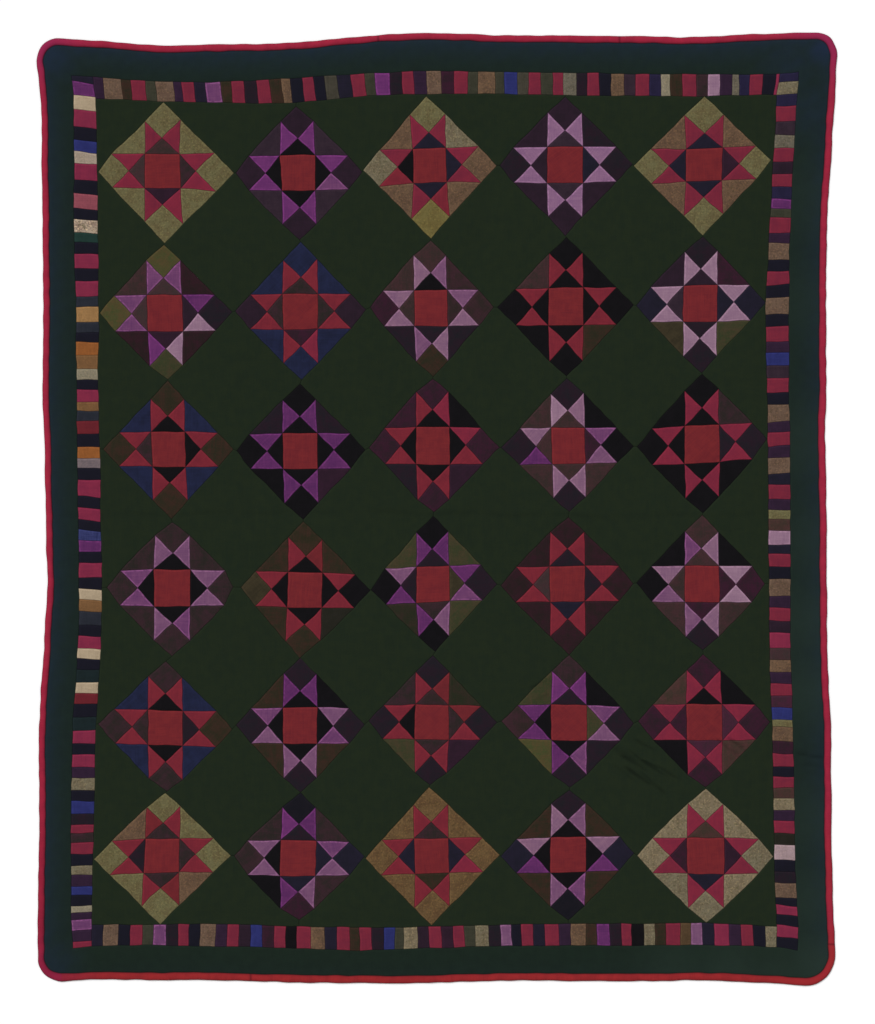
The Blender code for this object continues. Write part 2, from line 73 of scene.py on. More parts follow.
# A block's four corners and its middle are pixels of the photo. The size of the square in its middle is in
# millimetres.
Star = namedtuple("Star", "north east south west centre square")
STARS = {
    (1, 1): Star((163, 102), (234, 173), (164.5, 243.5), (98.5, 172), (162.5, 171.3), (79, 78)),
    (1, 2): Star((296.5, 107), (362, 172), (300, 240), (236, 173), (298.3, 173), (78, 81)),
    (1, 3): Star((426.5, 96), (496.5, 165), (430.5, 238.5), (363, 170), (429.8, 165.7), (76, 78)),
    (1, 4): Star((565, 97), (633, 164), (565, 236), (500, 165), (565, 165), (81, 82)),
    (1, 5): Star((704.5, 96), (771, 160.5), (703, 236), (633.5, 166), (704, 165), (82, 75)),
    (2, 1): Star((164, 245), (232, 312), (168, 380), (100.5, 313), (165, 313.2), (79, 83)),
    (2, 2): Star((301, 242), (366, 310), (302, 380), (235, 311), (300.5, 311.7), (79, 81)),
    (2, 3): Star((430, 240), (494, 307), (433, 377), (370, 308), (431, 308.2), (75, 83)),
    (2, 4): Star((566, 237), (633.5, 305.5), (566, 376), (497.5, 307.5), (566, 306.7), (79, 85)),
    (2, 5): Star((703, 237), (766, 303), (701, 373), (636, 306), (700.2, 303.5), (78, 82)),
    (3, 1): Star((167.7, 381), (233.4, 449.8), (171.7, 518.8), (103.4, 449.3), (168.7, 449.2), (77, 79)),
    (3, 2): Star((300.3, 384), (365.6, 450.5), (303, 519.8), (236.8, 451.5), (300.3, 451), (79, 81)),
    (3, 3): Star((432.6, 379.4), (500, 447.6), (433.8, 511.6), (369.5, 448.5), (433, 445.6), (76, 85)),
    (3, 4): Star((566.5, 378.5), (633.4, 445.9), (569.6, 511.6), (501.4, 447.6), (568.4, 445.6), (76, 82)),
    (3, 5): Star((701.9, 374.3), (767, 439.1), (702.7, 513), (637, 446.4), (702, 443.9), (79, 85)),
    (4, 1): Star((172.3, 522.3), (233.1, 587), (172, 655.7), (107.2, 587), (172.3, 588), (82, 83)),
    (4, 2): Star((303, 521.8), (370.2, 590), (299.6, 658.3), (241.1, 587), (305, 589.9), (78, 80)),
    (4, 3): Star((433, 515.9), (496.9, 584.1), (434.8, 651.8), (370.7, 589.7), (433.1, 584.2), (75, 82)),
    (4, 4): Star((568.6, 517), (633.4, 583.6), (569.1, 654.9), (500.9, 585.3), (567.4, 584), (81, 82)),
    (4, 5): Star((701.9, 515), (764.7, 583.6), (702.7, 649.8), (636.7, 583.2), (701.8, 584.1), (79, 83)),
    (5, 1): Star((166, 660.6), (233.1, 728.8), (166.5, 791.2), (98.3, 724.2), (165.5, 727.9), (79, 80)),
    (5, 2): Star((300.3, 657.7), (364.8, 725.1), (300.3, 793), (236.8, 725.1), (300.2, 725.6), (77, 82)),
    (5, 3): Star((432.1, 655.5), (496.9, 722.5), (430.1, 784.8), (369, 721.3), (431.9, 722.2), (77, 79)),
    (5, 4): Star((569.1, 654.8), (633.4, 723.4), (569.6, 787.3), (501.4, 721.3), (569, 722.6), (81, 81)),
    (5, 5): Star((703.2, 654.3), (769.3, 721.6), (705.3, 787.3), (638.4, 721.6), (704.2, 722.2), (81, 82)),
    (6, 1): Star((164.8, 793), (230.9, 855.6), (160, 923.8), (93.9, 859.5), (162, 855.5), (79, 77)),
    (6, 2): Star((300.8, 793), (364.8, 856.4), (298.6, 919.5), (234.3, 855.6), (298.3, 857.9), (80, 80)),
    (6, 3): Star((428.9, 787.3), (499.7, 854.7), (431.4, 925.5), (366.1, 858.5), (431.8, 855.6), (79, 80)),
    (6, 4): Star((569.1, 789.9), (633.9, 853), (568.2, 919.9), (500.9, 856.4), (568, 854.5), (81, 81)),
    (6, 5): Star((706.1, 789), (773.2, 856.4), (706.7, 922.4), (637.1, 855.6), (705.5, 855.6), (84, 82)),
}
STARS = {
    place: Star(*(from_photo(*pixel) for pixel in star[:-1]), np.array(star.square))
    for place, star in STARS.items()
}
STAR_ROWS, STAR_COLUMNS = 6, 5

# What each block is cut from. Points go clockwise from the left one of the top pair, inner triangles and
# corner squares from the top one, and side triangles from the upper right one. A short list goes round again.
Scraps = namedtuple("Scraps", "points inner corners sides")
SCRAPS = {
    (1, 1): Scraps("rose rose raspberry raspberry raspberry rose raspberry raspberry",
                   "rosebrown plumbrown darkplum heather", "olivetweed", "olivetweed"),
    (1, 2): Scraps("brightpurple brightpurple brightpurple orchid "
                   "brightpurple brightpurple brightpurple brightpurple",
                   "black", "aubergine", "greyplum"),
    (1, 3): Scraps("raspberry rose raspberry rose redrose rose redrose rose", "navy navy navy black",
                   "olivetweed tan mustard greytweed", "greytweed tan tan tan"),
    (1, 4): Scraps("pinklilac", "greyplum navy greyplum aubergine", "aubergine navyplum",
                   "navyplum aubergine aubergine aubergine"),
    (1, 5): Scraps("rose", "navy darkplum navy navy", "olivetweed", "tan"),
    (2, 1): Scraps("orchid orchid purple palelilac palelilac brightpurple orchid orchid",
                   "heather aubergine darkplum heather", "olive navyplum midolive olive",
                   "maroon maroon maroon rosebrown"),
    (2, 2): Scraps("redrose redrose redrose redrose raspberry redrose redrose redrose",
                   "plumbrown plumbrown plum plumbrown", "blue aubergine blue aubergine", "blue"),
    (2, 3): Scraps("lilac midlilac midlilac lilac lilac midlilac lilac lilac",
                   "black brownplum navyplum rosebrown", "rosebrown brownplum brown plum",
                   "brownplum navyplum navyplum rosebrown"),
    (2, 4): Scraps("redrose", "black", "black", "black brown black rosebrown"),
    (2, 5): Scraps("palelilac", "aubergine navy navyplum greyplum", "navyplum navy",
                   "plum midolive oliveold aubergine"),
    (3, 1): Scraps("redrose", "black black black plumbrown", "brown", "blue"),
    (3, 2): Scraps("purple", "black", "black", "navyplum darkplum black navyplum"),
    (3, 3): Scraps("redrose raspberry raspberry redrose redrose redrose redrose redrose", "black", "plum",
                   "black darkplum navyplum plum"),
    (3, 4): Scraps("palelilac lilac orchid midlilac lilac lilac purple lilac",
                   "rosebrown plum rosebrown rosebrown", "navyplum black navyplum navyplum",
                   "black rosebrown rosebrown rosebrown"),
    (3, 5): Scraps("raspberry", "black navyplum black black", "black navyplum black black",
                   "plumbrown black black black"),
    (4, 1): Scraps("midlilac midlilac midlilac midlilac orchid midlilac orchid orchid", "black",
                   "plumbrown", "plumbrown"),
    (4, 2): Scraps("redrose oldred redrose redrose redrose redrose redrose redrose", "black",
                   "goldbrown black brown oliveold", "brown greenbrown brown brown"),
    (4, 3): Scraps("purple purple purple orchid midlilac purple purple midlilac",
                   "navyplum oliveold plumbrown navyplum", "black navyplum black black",
                   "midolive midolive darkolive midolive"),
    (4, 4): Scraps("redrose", "navyplum navyplum navy heather", "maroon", "maroon"),
    (4, 5): Scraps("orchid lilac palelilac palelilac lilac midlilac midlilac lilac",
                   "rosebrown plum plum rosebrown", "rosebrown plum navyplum black",
                   "black rosebrown rosebrown black"),
    (5, 1): Scraps("redrose", "black navyplum black plumbrown", "plumbrown goldbrown plumbrown plumbrown",
                   "blue"),
    (5, 2): Scraps("purple purple midlilac orchid midlilac midlilac midlilac orchid", "black", "navyplum",
                   "black brown brown brown"),
    (5, 3): Scraps("redrose oldred oldred redrose redrose redrose redrose redrose",
                   "brownplum plumbrown plumbrown black", "navyplum",
                   "darkolive darkplum midolive plumbrown"),
    (5, 4): Scraps("brightpurple brightpurple orchid midlilac orchid purple purple purple",
                   "navyplum midolive black black", "plumbrown navyplum navyplum brownplum",
                   "black navyplum olive midolive"),
    (5, 5): Scraps("raspberry raspberry raspberry raspberry raspberry raspberry raspberry rose",
                   "black berry berry plum", "plum", "black brownpink black brownpink"),
    (6, 1): Scraps("oldred redrose redrose redrose", "plumbrown plumbrown plumbrown navyplum", "olivetweed",
                   "olivetweed tan"),
    (6, 2): Scraps("brightpurple purple orchid midlilac midlilac purple midlilac midlilac",
                   "navyplum navy navy black", "darknavy navy plum plumbrown",
                   "plumbrown plumbrown black plumbrown"),
    (6, 3): Scraps("redrose redrose redrose raspberry redrose redrose redrose redrose",
                   "plumbrown navy brown navy", "goldtweed", "goldtweed"),
    (6, 4): Scraps("lilac midlilac lilac purple orchid midlilac purple lilac", "black",
                   "navyplum navy darknavy navy", "brown"),
    (6, 5): Scraps("raspberry raspberry raspberry rose raspberry raspberry rose raspberry",
                   "brownpink darkplum navy plum", "khaki greytweed greytweed khaki",
                   "khaki khaki greytweed khaki"),
}


class Socket:
    """A shader value. Sums with it add Math nodes."""

    def __init__(self, finish, output):
        self.finish = finish
        self.output = output

    def math(self, operation, *values):
        return self.finish.node("ShaderNodeMath", {"operation": operation}, dict(enumerate(values)))

    def __add__(self, other):
        return self.math("ADD", self, other)

    def __sub__(self, other):
        return self.math("SUBTRACT", self, other)

    def __rsub__(self, other):
        return self.math("SUBTRACT", other, self)

    def __mul__(self, other):
        return self.math("MULTIPLY", self, other)

    __radd__ = __add__
    __rmul__ = __mul__

    def sine(self):
        return self.math("SINE", self)

    def between(self, low, high):
        """0 up to low and 1 from high on, with a soft step between them."""
        values = {"Value": self, "From Min": low, "From Max": high}
        return self.finish.node("ShaderNodeMapRange", {"interpolation_type": "SMOOTHSTEP"}, values)


class Finish:
    """A cloth's material, made from its nodes."""

    def __init__(self, name):
        self.material = bpy.data.materials.new(name)
        self.material.use_nodes = True
        self.nodes = self.material.node_tree.nodes
        self.shader = self.nodes["Principled BSDF"]

    def join(self, socket, value):
        if isinstance(value, Socket):
            self.material.node_tree.links.new(value.output, socket)
        else:
            socket.default_value = value

    def node(self, kind, settings=None, sockets=None, output=0):
        made = self.nodes.new(kind)
        for key, value in (settings or {}).items():
            setattr(made, key, value)
        for key, value in (sockets or {}).items():
            self.join(made.inputs[key], value)
        return Socket(self, made.outputs[output])

    def attribute(self, name, output="Fac"):
        return self.node("ShaderNodeAttribute", {"attribute_name": name}, output=output)

    def mix(self, share, first, second):
        values = {0: share, 6: first, 7: second}
        return self.node("ShaderNodeMix", {"data_type": "RGBA"}, values, output=2)

    def stretched(self, vector, scale):
        return self.node("ShaderNodeVectorMath", {"operation": "MULTIPLY"}, {0: vector, 1: scale})

    def noise(self, vector, size, detail=2.0, stretch=(1, 1, 1)):
        """Even noise from 0 to 1, with lumps of about a size in millimetres."""
        at = self.stretched(vector, tuple(part / size for part in stretch))
        return self.node("ShaderNodeTexNoise", None, {"Vector": at, "Scale": 1, "Detail": detail})

    def coat(self, colour, roughness, height, depth):
        """Joins up the shader, with a bump of a depth in metres."""
        bump = self.node("ShaderNodeBump", None, {"Strength": 1.0, "Distance": depth, "Height": height})
        values = {
            "Base Color": colour,
            "Roughness": roughness,
            "Normal": bump,
            "Specular IOR Level": 0.02,
            "Sheen Weight": 0.004,
            "Sheen Roughness": 0.6,
        }
        for key, value in values.items():
            self.join(self.shader.inputs[key], value)
        return self.material


def paint(red, green, blue):
    """A linear colour from one given as a screen shows it, 0 to 255."""
    shares = [value / 255 for value in (red, green, blue)]
    return (*(v / 12.92 if v <= 0.04045 else ((v + 0.055) / 1.055) ** 2.4 for v in shares), 1.0)


# Each cloth is a ground colour and a second one that its yarns show in streaks and clouds. Tweeds also have
# flecks, as a share of the cloth that they cover. Rims are paler bands just inside the seams. A tint is a
# dye, a fading or a painted shade that follows an attribute of the cloth.
CLOTH_PARTS = "ground second streaks clouds flecks rims tints"
Cloth = namedtuple("Cloth", CLOTH_PARTS, defaults=(0.4, 0.4, 0.0, 0.2, ()))
CLOTHS = {
    "rose": Cloth((112, 37, 52), (96, 33, 50)),
    "redrose": Cloth((113, 37, 47), (98, 33, 44)),
    "raspberry": Cloth((118, 37, 54), (103, 34, 52)),
    "pinkrose": Cloth((120, 40, 62), (105, 35, 58)),
    "darkrose": Cloth((98, 34, 40), (86, 30, 37)),
    "oldred": Cloth((103, 36, 41), (91, 33, 38), 0.5, 0.5),
    "brick": Cloth((111, 38, 41), (97, 33, 39), 0.6, 0.4),
    "purple": Cloth((91, 43, 89), (75, 36, 79), 0.5, 0.4, 0.0, 0.5),
    "brightpurple": Cloth((100, 47, 97), (86, 40, 88), 0.5, 0.4, 0.0, 0.5),
    "orchid": Cloth((106, 63, 98), (88, 50, 88), 0.5, 0.4, 0.0, 0.65),
    "midlilac": Cloth((112, 76, 103), (98, 63, 94), 0.5, 0.4, 0.0, 0.55),
    "lilac": Cloth((125, 92, 112), (110, 78, 104), 0.5, 0.4, 0.0, 0.45),
    "pinklilac": Cloth((130, 95, 122), (115, 81, 113), 0.5, 0.4, 0.0, 0.45),
    "palelilac": Cloth((138, 108, 126), (123, 93, 115), 0.5, 0.4, 0.0, 0.4),
    "black": Cloth((16, 15, 17), (21, 19, 22), 0.3, 0.3),
    "darknavy": Cloth((25, 23, 29), (20, 20, 26)),
    "navy": Cloth((31, 28, 41), (26, 25, 34)),
    "strongnavy": Cloth((36, 32, 56), (30, 27, 46)),
    "slate": Cloth((40, 42, 50), (32, 35, 42)),
    "navyplum": Cloth((36, 24, 33), (28, 27, 32), 0.45, 0.5, 0.1),
    "darkplum": Cloth((45, 27, 40), (36, 24, 33)),
    "plum": Cloth((52, 25, 40), (38, 28, 33), 0.45, 0.5, 0.1),
    "berry": Cloth((65, 31, 48), (51, 34, 42), 0.45, 0.5, 0.1),
    "violet": Cloth((46, 30, 48), (37, 26, 40)),
    "aubergine": Cloth((41, 28, 39), (34, 25, 33), 0.45, 0.45),
    "greyplum": Cloth((49, 37, 46), (41, 31, 40), 0.5, 0.5, 0.1),
    "maroon": Cloth((45, 25, 32), (35, 27, 27), 0.5, 0.6, 0.1),
    "brownplum": Cloth((54, 34, 40), (41, 34, 32), 0.5, 0.6, 0.1),
    "plumbrown": Cloth((52, 34, 40), (38, 34, 32), 0.55, 0.6, 0.15),
    "rosebrown": Cloth((60, 39, 42), (48, 39, 37), 0.55, 0.6, 0.2),
    "brown": Cloth((53, 36, 30), (39, 37, 27), 0.55, 0.6, 0.15),
    "brownpink": Cloth((68, 44, 43), (54, 45, 38), 0.55, 0.6, 0.2),
    "heather": Cloth((61, 40, 44), (51, 43, 42), 0.5, 0.5, 0.2),
    "goldbrown": Cloth((54, 38, 31), (39, 37, 26), 0.55, 0.6, 0.1),
    "greenbrown": Cloth((36, 34, 29), (30, 30, 24), 0.5, 0.5, 0.1),
    "oliveold": Cloth((57, 50, 36), (46, 41, 30), 0.55, 0.6, 0.1),
    "olive": Cloth((75, 62, 40), (60, 65, 38), 0.55, 0.55, 0.2),
    "midolive": Cloth((61, 53, 38), (48, 53, 34), 0.55, 0.55, 0.2),
    "darkolive": Cloth((45, 37, 31), (33, 38, 26), 0.5, 0.5, 0.1),
    "greyolive": Cloth((64, 60, 52), (54, 51, 43), 0.5, 0.5, 0.2),
    "blue": Cloth((32, 36, 61), (27, 30, 49), 0.45, 0.5),
    "olivetweed": Cloth((97, 93, 65), (88, 78, 54), 0.4, 0.6, 0.5),
    "mustard": Cloth((102, 93, 56), (92, 80, 47), 0.4, 0.6, 0.4),
    "greytweed": Cloth((105, 98, 80), (94, 83, 66), 0.4, 0.6, 0.6),
    "drabtweed": Cloth((96, 90, 79), (84, 78, 67), 0.4, 0.6, 0.5),
    "tan": Cloth((97, 76, 59), (81, 63, 51), 0.4, 0.6, 0.5),
    "striptan": Cloth((98, 79, 66), (85, 67, 56), 0.5, 0.6, 0.5),
    "goldtweed": Cloth((95, 75, 50), (81, 61, 42), 0.4, 0.6, 0.5),
    "khaki": Cloth((115, 104, 84), (100, 88, 70), 0.4, 0.6, 0.6),
    "green": Cloth((31, 39, 26), (25, 34, 26), 0.35, 0.3, 0.0, 0.1),
}
THREAD = 0.9  # millimetres from one thread of the weave to the next
WEAVE_DEPTH = 0.12
STREAK, STREAK_LENGTH = 1.6, 20  # a yarn that shows is this wide, and this many times as long
SLUB, SLUB_LENGTH = 3.4, 25
CLOUD, BROAD_CLOUD = 21, 95
LIGHT_FLECK, DARK_FLECK = 3.8, 4.4
FLECK_EDGES = (0.54, 0.64)
PALE_RIM_STRETCH = 7  # how far a pale rim goes on before it fades
PALE_RIM = (0.4, 1.9, 4.4)  # where the seam allowance, pressed under, starts, peaks and ends
SEAM_SHADE = 1.4  # how far from a seam its shade reaches
HOLLOW_SHADE = 0.5  # strongest shade in a pucker
made_cloths = {}


def weave_height(finish, at, streaks):
    """Over and under of a plain weave, with thick and thin yarns."""
    axes = [finish.node("ShaderNodeSeparateXYZ", None, {0: at}, output=axis) for axis in (0, 1)]
    across, along = [(axis * (math.tau / THREAD)).sine() for axis in axes]
    return across * along * 0.5 + streaks * 0.8


def lighter(colour, *shares):
    """A colour made lighter or darker by one share, or by one each for red, green and blue."""
    return paint(*(min(255, value * share) for value, share in zip(colour, shares * 3)))


def cloth_material(name):
    """Wool cloth with streaky yarns, clouds of the second colour, pale rims by the seams, painted shade in
    seams and creases, and a fine weave.
    """
    if name in made_cloths:
        return made_cloths[name]
    cloth = CLOTHS[name]
    finish = Finish("cloth_" + name)
    at = finish.attribute("cut", "Vector")
    seam = finish.attribute("seam")
    warp = finish.noise(at, STREAK, 2, (1, 1 / STREAK_LENGTH, 1))
    weft = finish.noise(at, STREAK, 2, (1 / STREAK_LENGTH, 1, 1))
    streaks = (warp + weft) * 0.5
    clouds = finish.noise(at, CLOUD, 3)
    broad = finish.noise(at, BROAD_CLOUD, 2)
    slubs = finish.noise(at, SLUB, 2, (1, 1 / SLUB_LENGTH, 1))
    share = streaks.between(0.38, 0.62) * cloth.streaks + clouds.between(0.35, 0.65) * cloth.clouds
    share = share + (slubs - 0.5) * cloth.streaks * 2 + (broad - 0.5) * cloth.clouds
    colour = finish.mix(share, paint(*cloth.ground), paint(*cloth.second))
    for attribute, tint in cloth.tints:
        colour = finish.mix(finish.attribute(attribute), colour, paint(*tint))
    if cloth.flecks:
        turned = finish.stretched(at, (-1, 1, 1))
        light = finish.noise(at, LIGHT_FLECK, 2).between(*FLECK_EDGES) * cloth.flecks
        dark = finish.noise(turned, DARK_FLECK, 2).between(*FLECK_EDGES) * cloth.flecks
        colour = finish.mix(light, colour, lighter(cloth.ground, 1.24, 1.2, 1.12))
        colour = finish.mix(dark, colour, lighter(cloth.second, 0.78, 0.84, 0.74))
    # A paler band just inside each seam, patchy along its length.
    start, peak, end = PALE_RIM
    patchy = finish.noise(at, PALE_RIM_STRETCH, 2).between(0.3, 0.6)
    rim = seam.between(start, peak) * (1 - seam.between(peak, end)) * patchy * cloth.rims
    colour = finish.mix(rim, colour, lighter(cloth.ground, 1.4))
    colour = finish.mix(finish.attribute("hollow") * HOLLOW_SHADE, colour, lighter(cloth.second, 0.4))
    shade = (1 - seam.between(0.0, SEAM_SHADE)) * 0.5
    colour = finish.mix(shade, colour, lighter(cloth.second, 0.4))
    roughness = 0.82 + clouds * 0.12
    made_cloths[name] = finish.coat(colour, roughness, weave_height(finish, at, streaks), WEAVE_DEPTH * MM)
    return made_cloths[name]


# The folds and lumps of the whole top. A crease runs from one pixel of the photo to another, with a depth
# and a width in millimetres, and a depth below zero is a ridge.
Crease = namedtuple("Crease", "start end depth width")
CREASES = (
    Crease((62, 515), (330, 512), 0.35, 5),
    Crease((330, 512), (640, 516), 0.45, 6),
    Crease((640, 516), (815, 513), 0.3, 5),
    Crease((607, 744), (650, 771), 0.6, 6),
    Crease((619, 755), (647, 772), 1.3, 4),
    Crease((630, 762), (656, 780), -0.8, 3),
    Crease((629, 751), (668, 777), 1.1, 3),
    Crease((626, 766), (653, 786), 1.6, 4),
    Crease((642, 771), (665, 795), 1.4, 4),
    Crease((637, 757), (664, 768), -0.7, 3),
    Crease((641, 760), (658, 770), 1.3, 3),
    Crease((612, 765), (636, 781), 0.7, 4),
    Crease((648, 760), (680, 778), 0.8, 4),
    Crease((634, 739), (656, 750), 0.8, 4),
    Crease((718, 738), (738, 756), 1.6, 3),
    Crease((714, 744), (732, 760), -1.1, 3),
    Crease((728, 738), (744, 750), 1.3, 3),
    Crease((530, 690), (548, 680), 1.2, 3),
    Crease((536, 700), (550, 694), 1.0, 3),
    Crease((797, 753), (826, 757), 1.0, 3),
    Crease((796, 758), (824, 763), -0.8, 3),
    Crease((800, 763), (826, 768), 0.8, 3),
)
HOLLOW_DEPTH = 1.6  # a crease this deep is in full shade
CREASE_SWAY, SWAY_LENGTH = 2.5, 31  # how far a crease strays from its line, and over what length
BREAK_LENGTH = 23  # and over what length it grows and fades
BOTTOM = 0.0
SEAM_LOW = 2.3  # top of the cloth in a seam
SEAM_LIP = 0.7  # how far the cloth turns down into it
LIP_REACH = 1.1
PRESSED_RIDGE = 0.35  # height of the seam allowance under the cloth
RIDGE_PLACE, RIDGE_WIDTH = 3.6, 2.2
CLOTH_WAVES = ((95, 0.35), (38, 0.16), (17, 0.06))  # lengths and heights of the lumps
SEAM_DRIFT = ((110, 0.8), (38, 0.45))  # lengths and reaches of the sideways waves of the seams
WAVE_COUNT = 6


def waves(x, y, length, seed):
    """Smooth lumps from -1 to 1, as sine waves that cross at chance angles."""
    chance = np.random.default_rng(seed)
    total = np.zeros_like(x)
    turns, phases = chance.uniform(0, math.tau, (2, WAVE_COUNT))
    for turn, phase, stretch in zip(turns, phases, chance.uniform(0.7, 1.4, WAVE_COUNT)):
        run = (x * math.cos(turn) + y * math.sin(turn)) * math.tau / (length * stretch)
        total += np.sin(run + phase)
    return total / math.sqrt(WAVE_COUNT)


def crease_lift(x, y):
    """Height that the creases add to the cloth, below zero in a trough."""
    lift = np.zeros_like(x)
    for number, crease in enumerate(CREASES):
        start, end = from_photo(*crease.start), from_photo(*crease.end)
        run = end - start
        length = math.hypot(*run)
        along = ((x - start[0]) * run[0] + (y - start[1]) * run[1]) / length
        across = ((y - start[1]) * run[0] - (x - start[0]) * run[1]) / length
        across = across + CREASE_SWAY * np.sin(along / SWAY_LENGTH + number)
        fade = np.clip(np.minimum(along, length - along) / (0.25 * length) + 0.3, 0, 1)
        patchy = 0.75 + 0.25 * np.sin(along / BREAK_LENGTH + 2 * number)
        lift -= crease.depth * fade * patchy * np.exp(-((across / crease.width) ** 2))
    return lift


def drift(x, y):
    """Sideways drift of every seam, as the cloth gave while it was sewn."""
    ways = []
    for seed in (11, 12):
        way = np.zeros_like(x)
        for number, (length, reach) in enumerate(SEAM_DRIFT):
            way += reach * waves(x, y, length, seed + 2 * number)
        ways.append(way)
    return ways


def seam_profile(seam, crown, spread, pressed):
    """Height of a patch over its seams at a distance from them."""
    lip = SEAM_LIP * (1 - np.exp(-seam / LIP_REACH))
    ridge = pressed * PRESSED_RIDGE * np.exp(-(((seam - RIDGE_PLACE) / RIDGE_WIDTH) ** 2))
    return lip + ridge + crown * (1 - np.exp(-((seam / spread) ** 1.6)))


def graded(steps, power=1.5):
    """Places from 0 to 1 that are closer together near 0."""
    return (np.arange(steps + 1) / steps) ** power


def along_line(line, places):
    """Points of a broken line at shares of its length, with the nearest ones moved onto its bends."""
    line = np.asarray(line, float)
    lengths = np.hypot(*np.diff(line, axis=0).T)
    run = np.concatenate([[0], np.cumsum(lengths)])
    spots = places * run[-1]
    for bend in run[1:-1]:
        nearest = np.argmin(np.abs(spots - bend))
        if 0 < nearest < len(spots) - 1:
            spots[nearest] = bend
    return np.stack([np.interp(spots, run, line[:, axis]) for axis in (0, 1)], axis=1)


def from_line(points, line):
    """Distance of each point from a broken line."""
    nearest = np.full(len(points), np.inf)
    for start, end in zip(line, line[1:]):
        run = end - start
        size = run @ run
        if size > 0:
            share = np.clip((points - start) @ run / size, 0, 1)
            nearest = np.minimum(nearest, np.hypot(*(points - start - share[:, None] * run).T))
    return nearest


Cell = namedtuple("Cell", "points faces seam lift cloth turn shades", defaults=({},))


def patch(sides, cloth, turn, steps, crown, spread, pressed=1.0):
    """A patch from its sides, broken lines from corner to corner, with small faces by its seams."""
    sides = [np.array(side, float) for side in sides]
    corners = np.array([side[0] for side in sides])
    following = np.roll(corners, -1, axis=0)
    if (corners[:, 0] * following[:, 1] - following[:, 0] * corners[:, 1]).sum() < 0:
        sides = [side[::-1] for side in sides[::-1]]
        corners = np.array([side[0] for side in sides])
    centre = corners.mean(axis=0)
    near = graded(steps)
    points, faces = [], []
    for number, side in enumerate(sides):
        ahead = along_line(side, near / 2)
        back = along_line(sides[number - 1][::-1], near / 2)
        s, t = near[:, None, None], near[None, :, None]
        far_ahead = back[-1] + (centre - back[-1]) * s
        far_back = ahead[-1] + (centre - ahead[-1]) * t
        corner_mix = (
            (1 - s) * (1 - t) * ahead[0] + s * (1 - t) * ahead[-1] + (1 - s) * t * back[-1] + s * t * centre
        )
        grid = (1 - t) * ahead[:, None] + t * far_ahead + (1 - s) * back[None] + s * far_back - corner_mix
        first = len(points) * (steps + 1) ** 2
        index = first + np.arange((steps + 1) ** 2).reshape(steps + 1, steps + 1)
        faces.append(quads_of(index))
        points.append(grid.reshape(-1, 2))
    points = np.concatenate(points)
    seam = np.min([from_line(points, side) for side in sides], axis=0)
    lift = seam_profile(seam, crown, spread, pressed)
    return Cell(points, np.concatenate(faces), seam, lift, cloth, turn)


def quads_of(index):
    return np.stack([index[:-1, :-1], index[1:, :-1], index[1:, 1:], index[:-1, 1:]], axis=-1).reshape(-1, 4)


OFF_THE_TIE = math.e / 1000  # moves points off the places where rounding could part two that are the same
FIELD_MIDDLE = ((-783 + 771) / 2, (-950 + 942) / 2)  # halfway between the ends of the star field
field_low, field_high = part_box("star_field")
quilt_centre = (
    FIELD_MIDDLE[0] - (field_low.x + field_high.x) / 2 / MM,
    FIELD_MIDDLE[1] - (field_low.y + field_high.y) / 2 / MM,
)
PATCH_SHIFT = 17.0  # gives each patch another stretch of its cloth's streaks and clouds
SHARP_TURN = 40  # degrees from which an edge is drawn sharp


def make_piece(name, places, faces, cloths, cut, shades, sharp_turn):
    """A piece from places in millimetres. cut says where its points or faces' corners lay in the cloth."""
    mesh = bpy.data.meshes.new(name)
    mesh.from_pydata((places * MM).tolist(), [], faces)
    for cloth in cloths:
        mesh.materials.append(cloth_material(cloth))
    domain = "POINT" if len(cut) == len(places) else "CORNER"
    mesh.attributes.new("cut", "FLOAT_VECTOR", domain).data.foreach_set("vector", cut.ravel())
    for key, values in shades.items():
        mesh.attributes.new(key, "FLOAT", "POINT").data.foreach_set("value", values)
    mesh.shade_smooth()
    mesh.set_sharp_from_angle(angle=math.radians(sharp_turn))
    piece = bpy.data.objects.new(name, mesh)
    bpy.context.scene.collection.objects.link(piece)
    return piece


